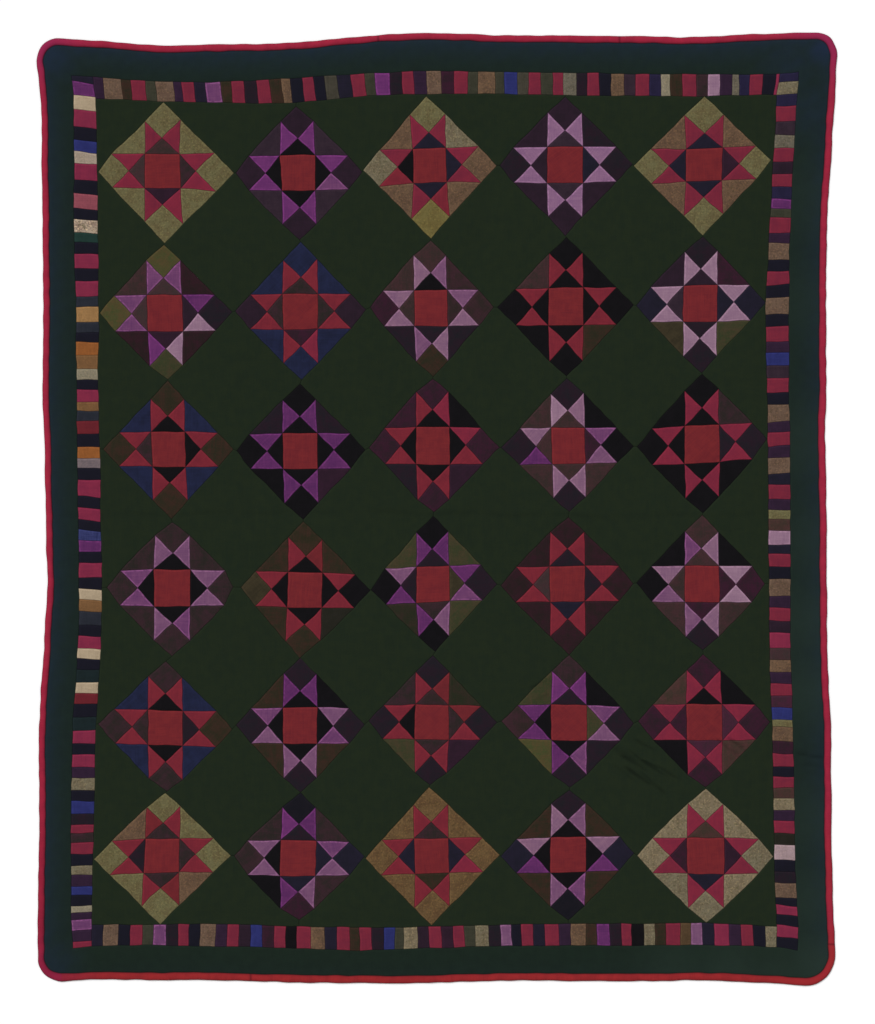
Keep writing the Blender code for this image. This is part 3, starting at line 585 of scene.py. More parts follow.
def sew(name, cells, node, flat, share=1.0):
    """Joins cells into one closed panel down to the flat back, and lays it in place of a node."""
    starts = np.cumsum([0] + [len(cell.points) for cell in cells])
    points = np.concatenate([cell.points for cell in cells])
    rounded = np.round(points + OFF_THE_TIE, 4)
    _, first, index = np.unique(rounded, axis=0, return_index=True, return_inverse=True)
    index = index.reshape(-1)
    seam = np.concatenate([cell.seam for cell in cells])[first]
    lift = np.concatenate([cell.lift for cell in cells])[first]
    shades = {key: np.concatenate([cell.shades[key] for cell in cells])[first] for key in cells[0].shades}
    x, y = points[first].T
    folds = crease_lift(x, y)
    shades["hollow"] = np.clip(-folds / HOLLOW_DEPTH, 0, 1)
    z = SEAM_LOW + lift + folds
    for number, (length, height) in enumerate(CLOTH_WAVES):
        z += height * waves(x, y, length, 20 + number) * (1 - 0.7 * np.exp(-seam / 6))
    aside, up = drift(x, y)
    top = np.stack([x + aside, y + up, z], axis=1)
    faces, owners = [], []
    for number, cell in enumerate(cells):
        found = index[cell.faces + starts[number]].tolist()
        kept = [tuple(dict.fromkeys(face)) for face in found]
        kept = [face for face in kept if len(face) > 2]
        faces += kept
        owners += [number] * len(kept)
    ways = {(a, b) for face in faces for a, b in zip(face, face[1:] + face[:1])}
    onward = {a: b for a, b in ways if (b, a) not in ways}
    rim = [min(onward)]
    while len(rim) < len(onward):
        rim.append(onward[rim[-1]])
    assert onward[rim[-1]] == rim[0], name
    under = {vertex: len(top) + place for place, vertex in enumerate(rim)}
    faces += [(b, a, under[a], under[b]) for a, b in zip(rim, rim[1:] + rim[:1])]
    faces.append(tuple(under[vertex] for vertex in reversed(rim)))
    foot = top[rim].copy()
    foot[:, 2] = BOTTOM
    places = np.concatenate([top, foot])
    places[:, :2] -= quilt_centre
    cloths = sorted({cell.cloth for cell in cells})
    owners += [owners[0]] * (len(faces) - len(owners))
    slots = np.array([cloths.index(cells[owner].cloth) for owner in owners], np.int32)
    slots[-1] = len(cloths)
    sizes = [len(face) for face in faces]
    turns = np.repeat([cells[owner].turn for owner in owners], sizes)
    corner = places[np.concatenate([np.array(face) for face in faces])]
    cut = np.stack(
        [
            corner[:, 0] * np.cos(turns) - corner[:, 1] * np.sin(turns),
            corner[:, 0] * np.sin(turns) + corner[:, 1] * np.cos(turns),
            np.repeat([PATCH_SHIFT * owner for owner in owners], sizes),
        ],
        axis=1,
    )
    shades = {key: np.concatenate([values, values[rim]]) for key, values in {"seam": seam, **shades}.items()}
    piece = make_piece(name, places, faces, [*cloths, "green"], cut, shades, SHARP_TURN)
    piece.data.polygons.foreach_set("material_index", slots)
    lay(piece, node, flat, share)


def lay(piece, node, flat, share=1.0):
    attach(piece, "root")
    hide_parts(node)
    width, length = (side * MM for side in flat)
    share * width * length


NORTH, EAST, SOUTH, WEST = range(4)
GRID_CORNERS = ((0, 4), (4, 0), (0, -4), (-4, 0))
GRID_STEP = 0.4817  # a step of the grid, as a share of the centre square's width or height
CENTRE_EASE = 1.038  # brings the centre square back to its full size
BLOCK_SIDE = 217.0
PATCH_STEPS = 8
PATCH_SPREAD = 16  # how far from its seams a patch rises
PATCH_CROWNS = (0.7, 1.1)
PRESSINGS = (0.3, 1.0)  # how clearly a seam allowance shows
GRAINS = (0, 0, math.pi / 2, math.pi / 4)  # ways that the threads of a patch can run


def block_spot(star, u, v):
    """A point of a block's grid. (0, 4) is its north corner and (4, 0) its east corner."""
    if (u, v) in GRID_CORNERS:
        return star[GRID_CORNERS.index((u, v))]
    right, up = star.east - star.west, star.north - star.south
    ease = CENTRE_EASE if abs(u) == abs(v) == 1 else 1.0
    width, height = star.square * GRID_STEP * ease
    spot = star.centre + right / math.hypot(*right) * u * width + up / math.hypot(*up) * v * height
    if abs(u) + abs(v) == 4:
        end = star.north if v > 0 else star.south
        run = (star.east if u > 0 else star.west) - end
        out = np.array((-run[1], run[0])) / math.hypot(*run)
        out *= np.sign(out @ (end - star.centre))
        spot = spot + out * max(0, out @ (end - spot))
    return spot


def block_side(star, first, last):
    """The seam along one side of a block, from a corner by the two star tips on it to the next corner."""
    (a, b), (c, d) = GRID_CORNERS[first], GRID_CORNERS[last]
    return [block_spot(star, a + (c - a) * step // 4, b + (d - b) * step // 4) for step in (0, 1, 3, 4)]


def ring(names, count):
    """The cloth of each patch of a ring, from the names of its cloths."""
    names = names.split()
    return [names[number % len(names)] for number in range(count)]


def block_patches(star, scraps):
    """The 21 patches of a block, as a cloth and its corners on the grid."""
    points, inner = ring(scraps.points, 8), ring(scraps.inner, 4)
    corners, sides = ring(scraps.corners, 4), ring(scraps.sides, 4)
    patches = [("brick", [(-1, -1), (1, -1), (1, 1), (-1, 1)])]
    for quarter in range(4):
        shapes = (
            (inner[quarter], [(-1, 1), (1, 1), (0, 2)]),
            (points[2 * quarter], [(-1, 1), (0, 2), (-1, 3)]),
            (points[2 * quarter + 1], [(1, 1), (1, 3), (0, 2)]),
            (corners[quarter], [(0, 2), (1, 3), (0, 4), (-1, 3)]),
            (sides[quarter], [(1, 1), (3, 1), (1, 3)]),
        )
        for cloth, outline in shapes:
            for _ in range(quarter):
                outline = [(v, -u) for u, v in outline]
            patches.append((cloth, outline))
    return patches


def straight_sides(corners):
    return [np.array([a, b]) for a, b in zip(corners, corners[1:] + corners[:1])]


chance = np.random.default_rng(5)
for (row, column), star in STARS.items():
    cells = []
    for cloth, outline in block_patches(star, SCRAPS[row, column]):
        corners = [block_spot(star, u, v) for u, v in outline]
        turn = chance.choice(GRAINS) + chance.normal(0, 0.06)
        crown, pressed = chance.uniform(*PATCH_CROWNS), chance.uniform(*PRESSINGS)
        sides = straight_sides(corners)
        cells.append(patch(sides, cloth, turn, PATCH_STEPS, crown, PATCH_SPREAD, pressed))
    sew(f"star_block_{row}_{column}", cells, "star_field", (BLOCK_SIDE, BLOCK_SIDE))


# The plain squares and edge triangles. They are one dark green wool, set between the stars on the same
# slant. The stars' tips stop a little short of each other, so the green squares meet in a short seam there.
Station = namedtuple("Station", "along field strip hem")
SIDES = {
    "top": (
        Station(-775, 931, 980, 1061), Station(-622, 925, 969, 1051), Station(-470, 921, 970, 1053),
        Station(-319, 922, 978, 1057), Station(-171, 937, 987, 1071), Station(-24, 942, 993, 1079),
        Station(134, 942, 991, 1074), Station(291, 939, 989, 1073), Station(450, 937, 987, 1071),
        Station(608, 937, 986, 1070), Station(771, 940, 987, 1078),
    ),
    "bottom": (
        Station(-783, -944, -992, -1068), Station(-629, -942, -991, -1068), Station(-471, -942, -993, -1070),
        Station(-314, -947, -997, -1074), Station(-163, -950, -1001, -1076), Station(-13, -948, -996, -1075),
        Station(143, -944, -992, -1070), Station(298, -941, -991, -1070), Station(455, -941, -991, -1071),
        Station(612, -939, -990, -1069), Station(771, -948, -994, -1077),
    ),
    "left": (
        Station(931, -775, -824, -898), Station(765, -771, -823, -895), Station(606, -769, -823, -893),
        Station(445, -767, -819, -891), Station(290, -769, -818, -893), Station(136, -765, -816, -889),
        Station(-21, -763, -814, -886), Station(-177, -760, -812, -883), Station(-334, -763, -816, -891),
        Station(-488, -774, -826, -901), Station(-643, -777, -829, -901), Station(-793, -781, -830, -902),
        Station(-944, -783, -829, -904),
    ),
    "right": (
        Station(940, 771, 818, 902), Station(791, 763, 809, 893), Station(629, 755, 801, 884),
        Station(467, 746, 799, 882), Station(313, 748, 799, 882), Station(159, 751, 801, 880),
        Station(-5, 752, 802, 883), Station(-170, 754, 802, 884), Station(-326, 755, 803, 885),
        Station(-483, 760, 808, 892), Station(-636, 763, 811, 894), Station(-789, 765, 813, 895),
        Station(-948, 771, 819, 901),
    ),
}
Corner = namedtuple("Corner", "strip hem radius inner")
CORNERS = {
    ("top", "left"): Corner((-829, 983), (-913, 1069), 52, -782),
    ("top", "right"): Corner((822, 992), (912, 1081), 53, 778),
    ("bottom", "right"): Corner((819, -1001), (904, -1086), 70, 771),
    ("bottom", "left"): Corner((-826, -997), (-903, -1073), 52, -783),
}
PLAIN_STEPS = 24
PLAIN_CROWN, PLAIN_SPREAD, PLAIN_PRESSED = 1.1, 30, 0.6
EDGE_STEP = 12
PUCKERED_STEPS = 96
PUCKERED = ("plain_square_5_4",)  # drawn up in small folds, which take finer steps


def upright(side):
    return side in ("left", "right")


def curve(points, at):
    """Values along a smooth curve through (place, value) points."""
    places, values = np.array(sorted(points), float).T
    slopes = np.empty(len(places))
    slopes[1:-1] = (values[2:] - values[:-2]) / (places[2:] - places[:-2])
    slopes[0] = (values[1] - values[0]) / (places[1] - places[0])
    slopes[-1] = (values[-1] - values[-2]) / (places[-1] - places[-2])
    first = np.clip(np.searchsorted(places, at, side="right") - 1, 0, len(places) - 2)
    length = places[first + 1] - places[first]
    t = (at - places[first]) / length
    return (
        (2 * t**3 - 3 * t**2 + 1) * values[first]
        + (3 * t**2 - 2 * t**3) * values[first + 1]
        + (t**3 - 2 * t**2 + t) * length * slopes[first]
        + (t**3 - t**2) * length * slopes[first + 1]
    )


def side_line(side, line, at):
    """Points of a side's field, strip or hem line at places along the side."""
    at = np.atleast_1d(np.asarray(at, float))
    points = [(station.along, getattr(station, line)) for station in SIDES[side]]
    if line != "field":
        ends = [getattr(corner, line) for sides, corner in CORNERS.items() if side in sides]
        points += [(y, x) if upright(side) else (x, y) for x, y in ends]
    value = curve(points, at)
    return np.stack([value, at] if upright(side) else [at, value], axis=1)


def edge_run(side, start, end):
    """The field line along a side between two places."""
    count = max(2, int(abs(end - start) / EDGE_STEP))
    return side_line(side, "field", np.linspace(start, end, count))


def plain(name, sides, flat, share=1.0):
    """A plain green patch. The threads of the cloth run up and down."""
    turn = chance.normal(0, 0.03)
    steps = PUCKERED_STEPS if name in PUCKERED else PLAIN_STEPS
    cell = patch(sides, "green", turn, steps, PLAIN_CROWN, PLAIN_SPREAD, PLAIN_PRESSED)
    sew(name, [cell], "star_field", flat, share)


def middle(first, second):
    return (first + second) / 2


for row in range(1, STAR_ROWS):
    for column in range(1, STAR_COLUMNS):
        north_west, north_east = STARS[row, column], STARS[row, column + 1]
        south_west, south_east = STARS[row + 1, column], STARS[row + 1, column + 1]
        top = middle(north_west.east, north_east.west)
        left = middle(north_west.south, south_west.north)
        bottom = middle(south_west.east, south_east.west)
        right = middle(north_east.south, south_east.north)
        sides = [
            [top, *block_side(north_west, EAST, SOUTH), left],
            [left, *block_side(south_west, NORTH, EAST), bottom],
            [bottom, *block_side(south_east, WEST, NORTH), right],
            [right, *block_side(north_east, SOUTH, WEST), top],
        ]
        plain(f"plain_square_{row}_{column}", sides, (BLOCK_SIDE, BLOCK_SIDE))

TRIANGLE_FLAT = (BLOCK_SIDE * math.sqrt(2), BLOCK_SIDE / math.sqrt(2))


def foot(side, tip):
    """Where a star's tip meets the edge of the field, as a place along that side."""
    return tip[1] if upright(side) else tip[0]


def edge_triangle(side, number, first, second, tips):
    """A triangle between two stars and a side. Each star gives its tip at the side and its inner one."""
    (first_tip, first_near), (second_tip, second_near) = tips
    places = foot(side, first[first_tip]), foot(side, second[second_tip])
    run = edge_run(side, *places)
    join = middle(first[first_near], second[second_near])
    sides = [
        run,
        [run[-1], *block_side(second, second_tip, second_near), join],
        [join, *block_side(first, first_near, first_tip), run[0]],
    ]
    plain(f"edge_triangle_{side}_{number}", sides, TRIANGLE_FLAT, 0.5)


for column in range(1, STAR_COLUMNS):
    stars = STARS[1, column], STARS[1, column + 1]
    edge_triangle("top", column, *stars, ((NORTH, EAST), (NORTH, WEST)))
    stars = STARS[STAR_ROWS, column], STARS[STAR_ROWS, column + 1]
    edge_triangle("bottom", column, *stars, ((SOUTH, EAST), (SOUTH, WEST)))
for row in range(1, STAR_ROWS):
    stars = STARS[row, 1], STARS[row + 1, 1]
    edge_triangle("left", row, *stars, ((WEST, SOUTH), (WEST, NORTH)))
    stars = STARS[row, STAR_COLUMNS], STARS[row + 1, STAR_COLUMNS]
    edge_triangle("right", row, *stars, ((EAST, SOUTH), (EAST, NORTH)))

CORNER_STARS = {
    ("top", "left"): ((1, 1), NORTH, WEST),
    ("top", "right"): ((1, STAR_COLUMNS), NORTH, EAST),
    ("bottom", "right"): ((STAR_ROWS, STAR_COLUMNS), SOUTH, EAST),
    ("bottom", "left"): ((STAR_ROWS, 1), SOUTH, WEST),
}


def field_corner(flat_side, upright_side):
    """The field's corner, as its place along the flat side and along the upright side."""
    end = 0 if upright_side == "left" else -1
    top_end = 0 if flat_side == "top" else -1
    return SIDES[flat_side][end].along, SIDES[upright_side][top_end].along


for (flat_side, upright_side), (place, flat_tip, upright_tip) in CORNER_STARS.items():
    star = STARS[place]
    flat_end, upright_end = field_corner(flat_side, upright_side)
    flat_run = edge_run(flat_side, star[flat_tip][0], flat_end)
    upright_run = edge_run(upright_side, upright_end, star[upright_tip][1])
    sides = [flat_run, upright_run, [upright_run[-1], *block_side(star, upright_tip, flat_tip), flat_run[0]]]
    size = BLOCK_SIDE / math.sqrt(2)
    plain(f"corner_triangle_{flat_side}_{upright_side}", sides, (size, size), 0.5)


# The pieced strips. They are bits of every cloth in the scrap bag, each about an inch wide, sewn side by side
# into four strips round the field. The side strips run past the ends of the other two. The number after each
# cloth is the pixel of the photo where that bit ends.
STRIP_STARTS = {"left": 76, "top": 93, "right": 72, "bottom": 93}
BITS = {
    "left": """
        navy 81 purple 95 cream 109 pinkrose 126 inkblue 140 royal 151.5 creamgrey 163 pinkrose 179
        inkblue 193 dustypink 208 inkblue 219 speckled 232 emerald 242 inkblue 254 pinkrose 268.5
        inkblue 281 pinkrose 297 slate 307 gold 322 slate 332.5 inkblue 342 orange 355 darkgold 369
        palekhaki 380 inkblue 389.5 pinkrose 402 darkgold 411 slate 421 darkrose 434 inkblue 447
        orange 458 greylilac 467.5 inkblue 480 pinkrose 496 inkblue 507 pinkrose 519 inkblue 529
        denim 540 purple 552 inkblue 563 pinkrose 577 inkblue 588 cream 599 darkgold 611 slate 625
        inkblue 636 pinkrose 648 cream 658 inkblue 669.5 teal 682.6 cream 693 darkrose 704 inkblue 717
        teal 730 pinkrose 743.5 inkblue 755 pinkrose 767 violet 777.5 greytweed 790 inkblue 801
        royal 814 navyplum 825 rose 833 plumbrown 842 rose 854 inkblue 866 greytweed 875 violet 886
        royal 895 inkblue 906.5 palekhaki 913 violet 920 orchid 931 violet 942 raspberry 948""",
    "top": """
        violet 103 striptan 121 brown 130.5 rose 145 greengrey 155 striptan 173 violet 181.5 rose 194
        navy 205 orchid 220 goldbrown 231 rose 243.5 navyplum 256 rose 269 brown 281 tan 290 inkblue 302
        rose 313 inkblue 324 greyolive 336 navy 350 rose 365 greengrey 375 brightpurple 389 navyplum 401
        rose 413 violet 426 striptan 441 plum 454 rose 468 greengrey 478 tan 495 greengrey 504 royal 517
        greyolive 528.5 rose 541 greengrey 553 rose 563 drabtweed 576 navyplum 587 rose 599 inkblue 611
        tan 624 greyplum 635 rose 649 strongnavy 661 palekhaki 670 brown 682 rose 696 plumbrown 708
        palelilac 720 violet 732 drabtweed 739 strongnavy 750 rose 763.5 inkblue 776.3 pinkrose 778.5""",
    "right": """
        strongnavy 80.5 greytweed 93 strongnavy 106 rose 121.5 greyplum 135 drabtweed 148 rose 162
        aubergine 174.5 rose 187 strongnavy 199 purple 209 greengrey 218 rose 233 violet 243
        striptan 260 inkblue 271 rose 284 inkblue 297 striptan 314 inkblue 326 rose 341 violet 352
        royal 365.5 greyplum 378 rose 392 inkblue 404 striptan 421 violet 432 rose 445 violet 457
        striptan 472.5 navy 485 rose 499 violet 510 olivetweed 519 brownpink 531 palelilac 545 navy 554
        rose 567 inkblue 579 striptan 596 violet 608 rose 621 aubergine 633 pinkrose 648 heather 660
        tan 672.5 violet 684 rose 695.5 berry 708 royal 720 olivetweed 727 tan 741.5 plum 754 rose 766.5
        inkblue 777 rose 788 brownpink 798 khaki 810 violet 821 raspberry 834 greenbrown 845
        creampink 860 inkblue 871.5 navyplum 883 striptan 898.5 inkblue 907 pinkrose 916 inkblue 927
        pinkrose 939 inkblue 950""",
    "bottom": """
        navy 103 striptan 118 inkblue 130 rose 142.5 greengrey 153 orchid 165.5 navyplum 178 rose 189
        inkblue 200 striptan 215 violet 227 rose 238.5 aubergine 250 royal 261.5 plum 274 rose 286
        black 297 rose 311 tan 325 navy 337 rose 350 brown 360 rose 372 navyplum 384 royal 395
        greengrey 404 khaki 418 aubergine 429 rose 442 darkplum 454 rose 465.5 greengrey 476
        greytweed 489 navyplum 501 midlilac 512 inkblue 522 rose 534 navy 545 rose 559 violet 571
        tan 586 brown 597 purple 610 navyplum 622 rose 632 black 644 greytweed 655 brown 666 rose 680
        oldgold 691 midlilac 703 navy 715 pinkrose 729 violet 741 rose 754 inkblue 766 greytweed 776""",
}
CLOTHS.update({
    "inkblue": Cloth((24, 23, 33), (21, 21, 28), 0.3, 0.3),
    "cream": Cloth((163, 146, 122), (146, 129, 107), 0.4, 0.4, 0.1),
    "creamgrey": Cloth((150, 136, 122), (134, 120, 106), 0.4, 0.4, 0.3),
    "creampink": Cloth((152, 130, 134), (136, 116, 118), 0.4, 0.4, 0.2),
    "palekhaki": Cloth((126, 118, 100), (112, 104, 88), 0.4, 0.4, 0.4),
    "speckled": Cloth((160, 145, 127), (128, 108, 96), 0.6, 0.5, 0.9),
    "royal": Cloth((42, 46, 98), (35, 38, 83)),
    "denim": Cloth((54, 58, 100), (38, 42, 78), 0.9, 0.3, 0.1),
    "dustypink": Cloth((132, 69, 79), (116, 60, 70), 0.4, 0.4, 0.1),
    "emerald": Cloth((32, 53, 48), (27, 44, 39)),
    "greengrey": Cloth((55, 54, 44), (45, 46, 37), 0.5, 0.5, 0.15),
    "gold": Cloth((142, 108, 70), (126, 95, 60), 0.4, 0.4, 0.2),
    "darkgold": Cloth((112, 81, 53), (97, 70, 46), 0.5, 0.4, 0.2),
    "oldgold": Cloth((77, 60, 43), (66, 51, 36), 0.5, 0.5, 0.2),
    "orange": Cloth((135, 82, 43), (117, 71, 38), 0.4, 0.4, 0.1),
    "greylilac": Cloth((109, 96, 99), (93, 83, 87), 0.5, 0.4, 0.2),
    "teal": Cloth((26, 36, 38), (23, 31, 32)),
})
# How the seams lean. Each pair is a pixel along the strip, and how many millimetres a seam's inner end lies
# to the right of its outer end or above it there.
LEANS = {
    "left": (
        (82, -8), (95, -6.5), (151, -6), (163, -3), (193, -7), (232, -4), (244, -1), (300, 1), (342, -1),
        (369, 0), (440, 0), (480, -1), (496, -4.5), (529, -6), (542, -1), (577, 0), (588, -4.5), (611, -4),
        (625, -1), (658, -3), (682, 0), (814, 0), (825, 1.5), (854, 1.5), (870, 0), (886, 0), (906, 3),
        (948, 4),
    ),
    "top": (
        (93, 5), (240, 5), (256, 5), (313, 8), (350, 6), (389, 4), (426, 3), (441, 0.5), (700, 0.5),
        (739, -1), (750, -2.7), (763, -3.5), (776, -5),
    ),
    "right": (
        (72, -4.5), (94, -4.5), (121, 0), (135, 1.8), (148, 0), (187, 0), (205, 1.8), (233, 0), (260, 0),
        (297, -3.5), (330, -1.5), (378, -2), (392, 0), (404, -1.4), (421, -4.5), (432, -2), (445, -4.5),
        (457, -2.5), (472, -4.5), (485, 0), (510, 0), (538, 1.8), (567, 0), (596, 0), (608, 1.5),
        (690, 1.5), (697, 0), (708, 1.8), (754, 1.8), (766, 0), (777, 2), (790, 0), (815, 0), (834, 2.5),
        (860, 0.7), (883, 1), (898, 3), (907, 6.5), (939, 6.5),
    ),
    "bottom": (
        (93, 1), (165, 0.5), (215, 1.5), (286, 1.5), (297, -1.5), (360, -1.2), (384, 0), (404, -1),
        (442, -2.7), (512, -2.5), (571, -1.7), (586, 0), (597, -2), (622, -2.5), (644, -0.5), (680, 0),
        (703, -1.8), (754, -2), (766, 0),
    ),
}
BIT_STEPS = 5
BIT_CROWN, BIT_SPREAD = 0.75, 12
STRIP_WIDTH = 50.0


def strip_seams(side):
    """Outer and inner end of each seam of a strip, and the cloth of each bit."""
    words = BITS[side].split()
    pixels = np.array([STRIP_STARTS[side]] + [float(word) for word in words[1::2]])
    places = from_photo(pixels, pixels)[1 if upright(side) else 0]
    leans = np.interp(pixels, *zip(*LEANS[side])) + chance.normal(0, 0.4, len(places))
    first, last = (("top", side), ("bottom", side)) if upright(side) else ((side, "left"), (side, "right"))
    ends = []
    for pair in (first, last):
        inner_end = CORNERS[pair].inner
        ends.append([inner_end, side_line(pair[0], "strip", inner_end)[0, 1]])
    ends = np.array(ends)
    field_ends = np.array([field_corner(*first), field_corner(*last)])
    if upright(side):
        places[[0, -1]] = CORNERS[first].strip[1], CORNERS[last].strip[1]
        inner_places = places + leans
        inner_places[[0, -1]] = ends[:, 1]
        inner = side_line(side, "field", np.clip(inner_places, *sorted(field_ends[:, 1])))
        inner[:, 1] = inner_places
        for end, field_end in zip(ends, field_ends):
            beyond = np.clip((inner_places - field_end[1]) / (end[1] - field_end[1]), 0, 1)
            inner[:, 0] += beyond * (end[0] - field_end[0])
    else:
        places[[0, -1]] = ends[:, 0]
        inner_places = places + leans
        inner_places[[0, -1]] = field_ends[:, 0]
        inner = side_line(side, "field", np.clip(inner_places, *sorted(field_ends[:, 0])))
    outer = side_line(side, "strip", places)
    return outer, inner, words[::2]


for side in ("top", "bottom", "left", "right"):
    outer, inner, cloths = strip_seams(side)
    cells = []
    for number, cloth in enumerate(cloths):
        corners = [outer[number], inner[number], inner[number + 1], outer[number + 1]]
        turn = chance.choice([0, math.pi / 2]) + chance.normal(0, 0.05)
        pressed = chance.uniform(*PRESSINGS)
        sides = straight_sides(corners)
        cells.append(patch(sides, cloth, turn, BIT_STEPS, BIT_CROWN, BIT_SPREAD, pressed))
    length = abs(np.diff(outer[[0, -1]], axis=0)).max()
    sew(f"strip_bits_{side}", cells, f"pieced_strip_{side}", (STRIP_WIDTH, length))


# The plain border. It is one wool cloth on each side, and the side borders hold the rounded corners. It is
# dark green by the strips and goes blue towards the edge and in the corners, and the lower right is faded.
INWARD = {"top": (0, -1), "bottom": (0, 1), "left": (1, 0), "right": (-1, 0)}
BINDING_WIDTH = {"top": 15.5, "bottom": 17.0, "left": 15.0, "right": 16.0}
# How far the fold of the binding stands past the raw edge.
BINDING_ROLL = {"top": 1.2, "bottom": 0.9, "left": 2.2, "right": 1.0}
BOUND_SHADE = 0.6  # draws the shade of a seam out where the thick binding stands over it
BORDER_WIDTH = 72.0  # as cut, with what goes under the binding
BORDER_STEP = 6.0
BORDER_CROWN, BORDER_SPREAD, BORDER_PRESSED = 1.0, 16, 0.5
BORDER_ACROSS = 14  # faces from one edge of it to the other
BORDER_TINTS = (("blue", (30, 41, 62)), ("faded", (38, 51, 44)))
CLOTHS["border"] = Cloth((26, 37, 29), (23, 32, 26), 0.35, 0.35, 0.0, 0.1, BORDER_TINTS)
EDGE_BLUE = {"top": 0.75, "left": 0.62, "right": 0.6, "bottom": 0.12}
EDGE_REACH = 36.0  # how far in from the hem the blue goes
Spot = namedtuple("Spot", "at share reach", defaults=(85,))  # a pixel of the photo, and millimetres round it
BLUE_SPOTS = (
    Spot((48, 52), 0.65, 70), Spot((826, 48), 0.8, 50), Spot((790, 60), 0.35), Spot((818, 110), 0.35),
    Spot((48, 966), 0.4, 70),
)
FADED_SPOTS = (
    Spot((822, 968), 0.7), Spot((780, 980), 0.45), Spot((730, 975), 0.5), Spot((680, 975), 0.4),
    Spot((814, 900), 0.4), Spot((816, 820), 0.35), Spot((814, 690), 0.45), Spot((812, 620), 0.4),
    Spot((812, 540), 0.3), Spot((812, 440), 0.35), Spot((812, 300), 0.25), Spot((812, 200), 0.25),
)


def spot_share(x, y, spots):
    """Strongest share of the soft round spots at a point."""
    share = np.zeros_like(x)
    for spot in spots:
        away = np.hypot(*(np.stack([x, y], axis=-1) - from_photo(*spot.at)).T)
        share = np.maximum(share, spot.share * np.exp(-((away / spot.reach) ** 2)))
    return share


def border_shades(points):
    """Share of blue and of fading at points of the border."""
    x, y = points.T
    blue = spot_share(x, y, BLUE_SPOTS)
    for side, strength in EDGE_BLUE.items():
        along, across = (y, x) if upright(side) else (x, y)
        ends = [station.along for station in SIDES[side]]
        hem = side_line(side, "hem", np.clip(along, min(ends), max(ends)))[:, 0 if upright(side) else 1]
        blue = np.maximum(blue, strength * np.exp(-np.abs(hem - across) / EDGE_REACH))
    uneven = 1 + 0.1 * waves(x, y, 30, 41)
    return {"blue": np.clip(blue * uneven, 0, 1), "faded": spot_share(x, y, FADED_SPOTS)}


def hem_lines(side, at):
    """The hem, and the seam that joins binding to border, at places along a side."""
    inward = np.array(INWARD[side])
    hem = side_line(side, "hem", at) - inward * BINDING_ROLL[side]
    return hem, hem + inward * BINDING_WIDTH[side]


def corner_lines(flat_side, upright_side, count=16):
    """Hem and seam round one corner, from its top or bottom side to its left or right side."""
    (x, y), radius = CORNERS[flat_side, upright_side][1:3]
    flat_end = hem_lines(flat_side, x - math.copysign(radius, x))[0][0]
    upright_end = hem_lines(upright_side, y - math.copysign(radius, y))[0][0]
    centre = np.array([flat_end[0], upright_end[1]])
    reach = np.array([upright_end[0], flat_end[1]]) - centre
    angle = np.linspace(0, math.pi / 2, count)
    turn = np.stack([np.sin(angle), np.cos(angle)], axis=1)
    widths = np.array([BINDING_WIDTH[upright_side], BINDING_WIDTH[flat_side]])
    return centre + turn * reach, centre + turn * (reach - np.sign(reach) * widths)


def evenly(start, end, step=BORDER_STEP):
    return np.linspace(start, end, max(2, int(abs(end - start) / step) + 1))


def border_lines(side):
    """The border's inner and outer edge, point by point."""
    if not upright(side):
        ends = sorted(corner.strip[0] for sides, corner in CORNERS.items() if side in sides)
        places = evenly(*ends)
        return side_line(side, "strip", places), hem_lines(side, places)[1]
    inner, outer = [], []
    top_y, bottom_y = CORNERS["top", side].strip[1], CORNERS["bottom", side].strip[1]
    for flat_side, y in (("top", top_y), ("bottom", bottom_y)):
        corner = CORNERS[flat_side, side]
        arc = corner_lines(flat_side, side)[1]
        to_arc = hem_lines(flat_side, evenly(corner.strip[0], arc[0][0]))[1]
        from_arc = hem_lines(side, evenly(arc[-1][1], y))[1]
        fan = np.concatenate([to_arc, arc[1:-1], from_arc])
        inner.append(np.repeat([corner.strip], len(fan), axis=0))
        outer.append(fan)
    places = evenly(top_y, bottom_y)[1:-1]
    inner.insert(1, side_line(side, "strip", places))
    outer.insert(1, hem_lines(side, places)[1])
    inner[2], outer[2] = inner[2][::-1], outer[2][::-1]
    return np.concatenate(inner), np.concatenate(outer)


def ruled(inner, outer, cloth):
    """A panel between two lines, with small faces by both."""
    half = graded(BORDER_ACROSS // 2) / 2
    shares = np.concatenate([half, 1 - half[-2::-1]])
    grid = inner[:, None] + (outer - inner)[:, None] * shares[None, :, None]
    index = np.arange(grid.shape[0] * grid.shape[1]).reshape(grid.shape[:2])
    points = grid.reshape(-1, 2)
    faces = quads_of(index)
    a, b, c = points[faces[len(faces) // 2, :3]]
    if (b - a)[0] * (c - b)[1] - (b - a)[1] * (c - b)[0] < 0:
        faces = faces[:, ::-1]
    seam = np.minimum(from_line(points, inner), from_line(points, outer) * BOUND_SHADE)
    lift = seam_profile(seam, BORDER_CROWN, BORDER_SPREAD, BORDER_PRESSED)
    return Cell(points, faces, seam, lift, cloth, 0.0, border_shades(points))


for side in ("top", "bottom", "left", "right"):
    inner, outer = border_lines(side)
    length = abs(np.diff(outer[[0, -1]], axis=0)).max()
    cells = [ruled(inner, outer, "border")]
    sew(f"border_cloth_{side}", cells, f"border_{side}", (BORDER_WIDTH, length))


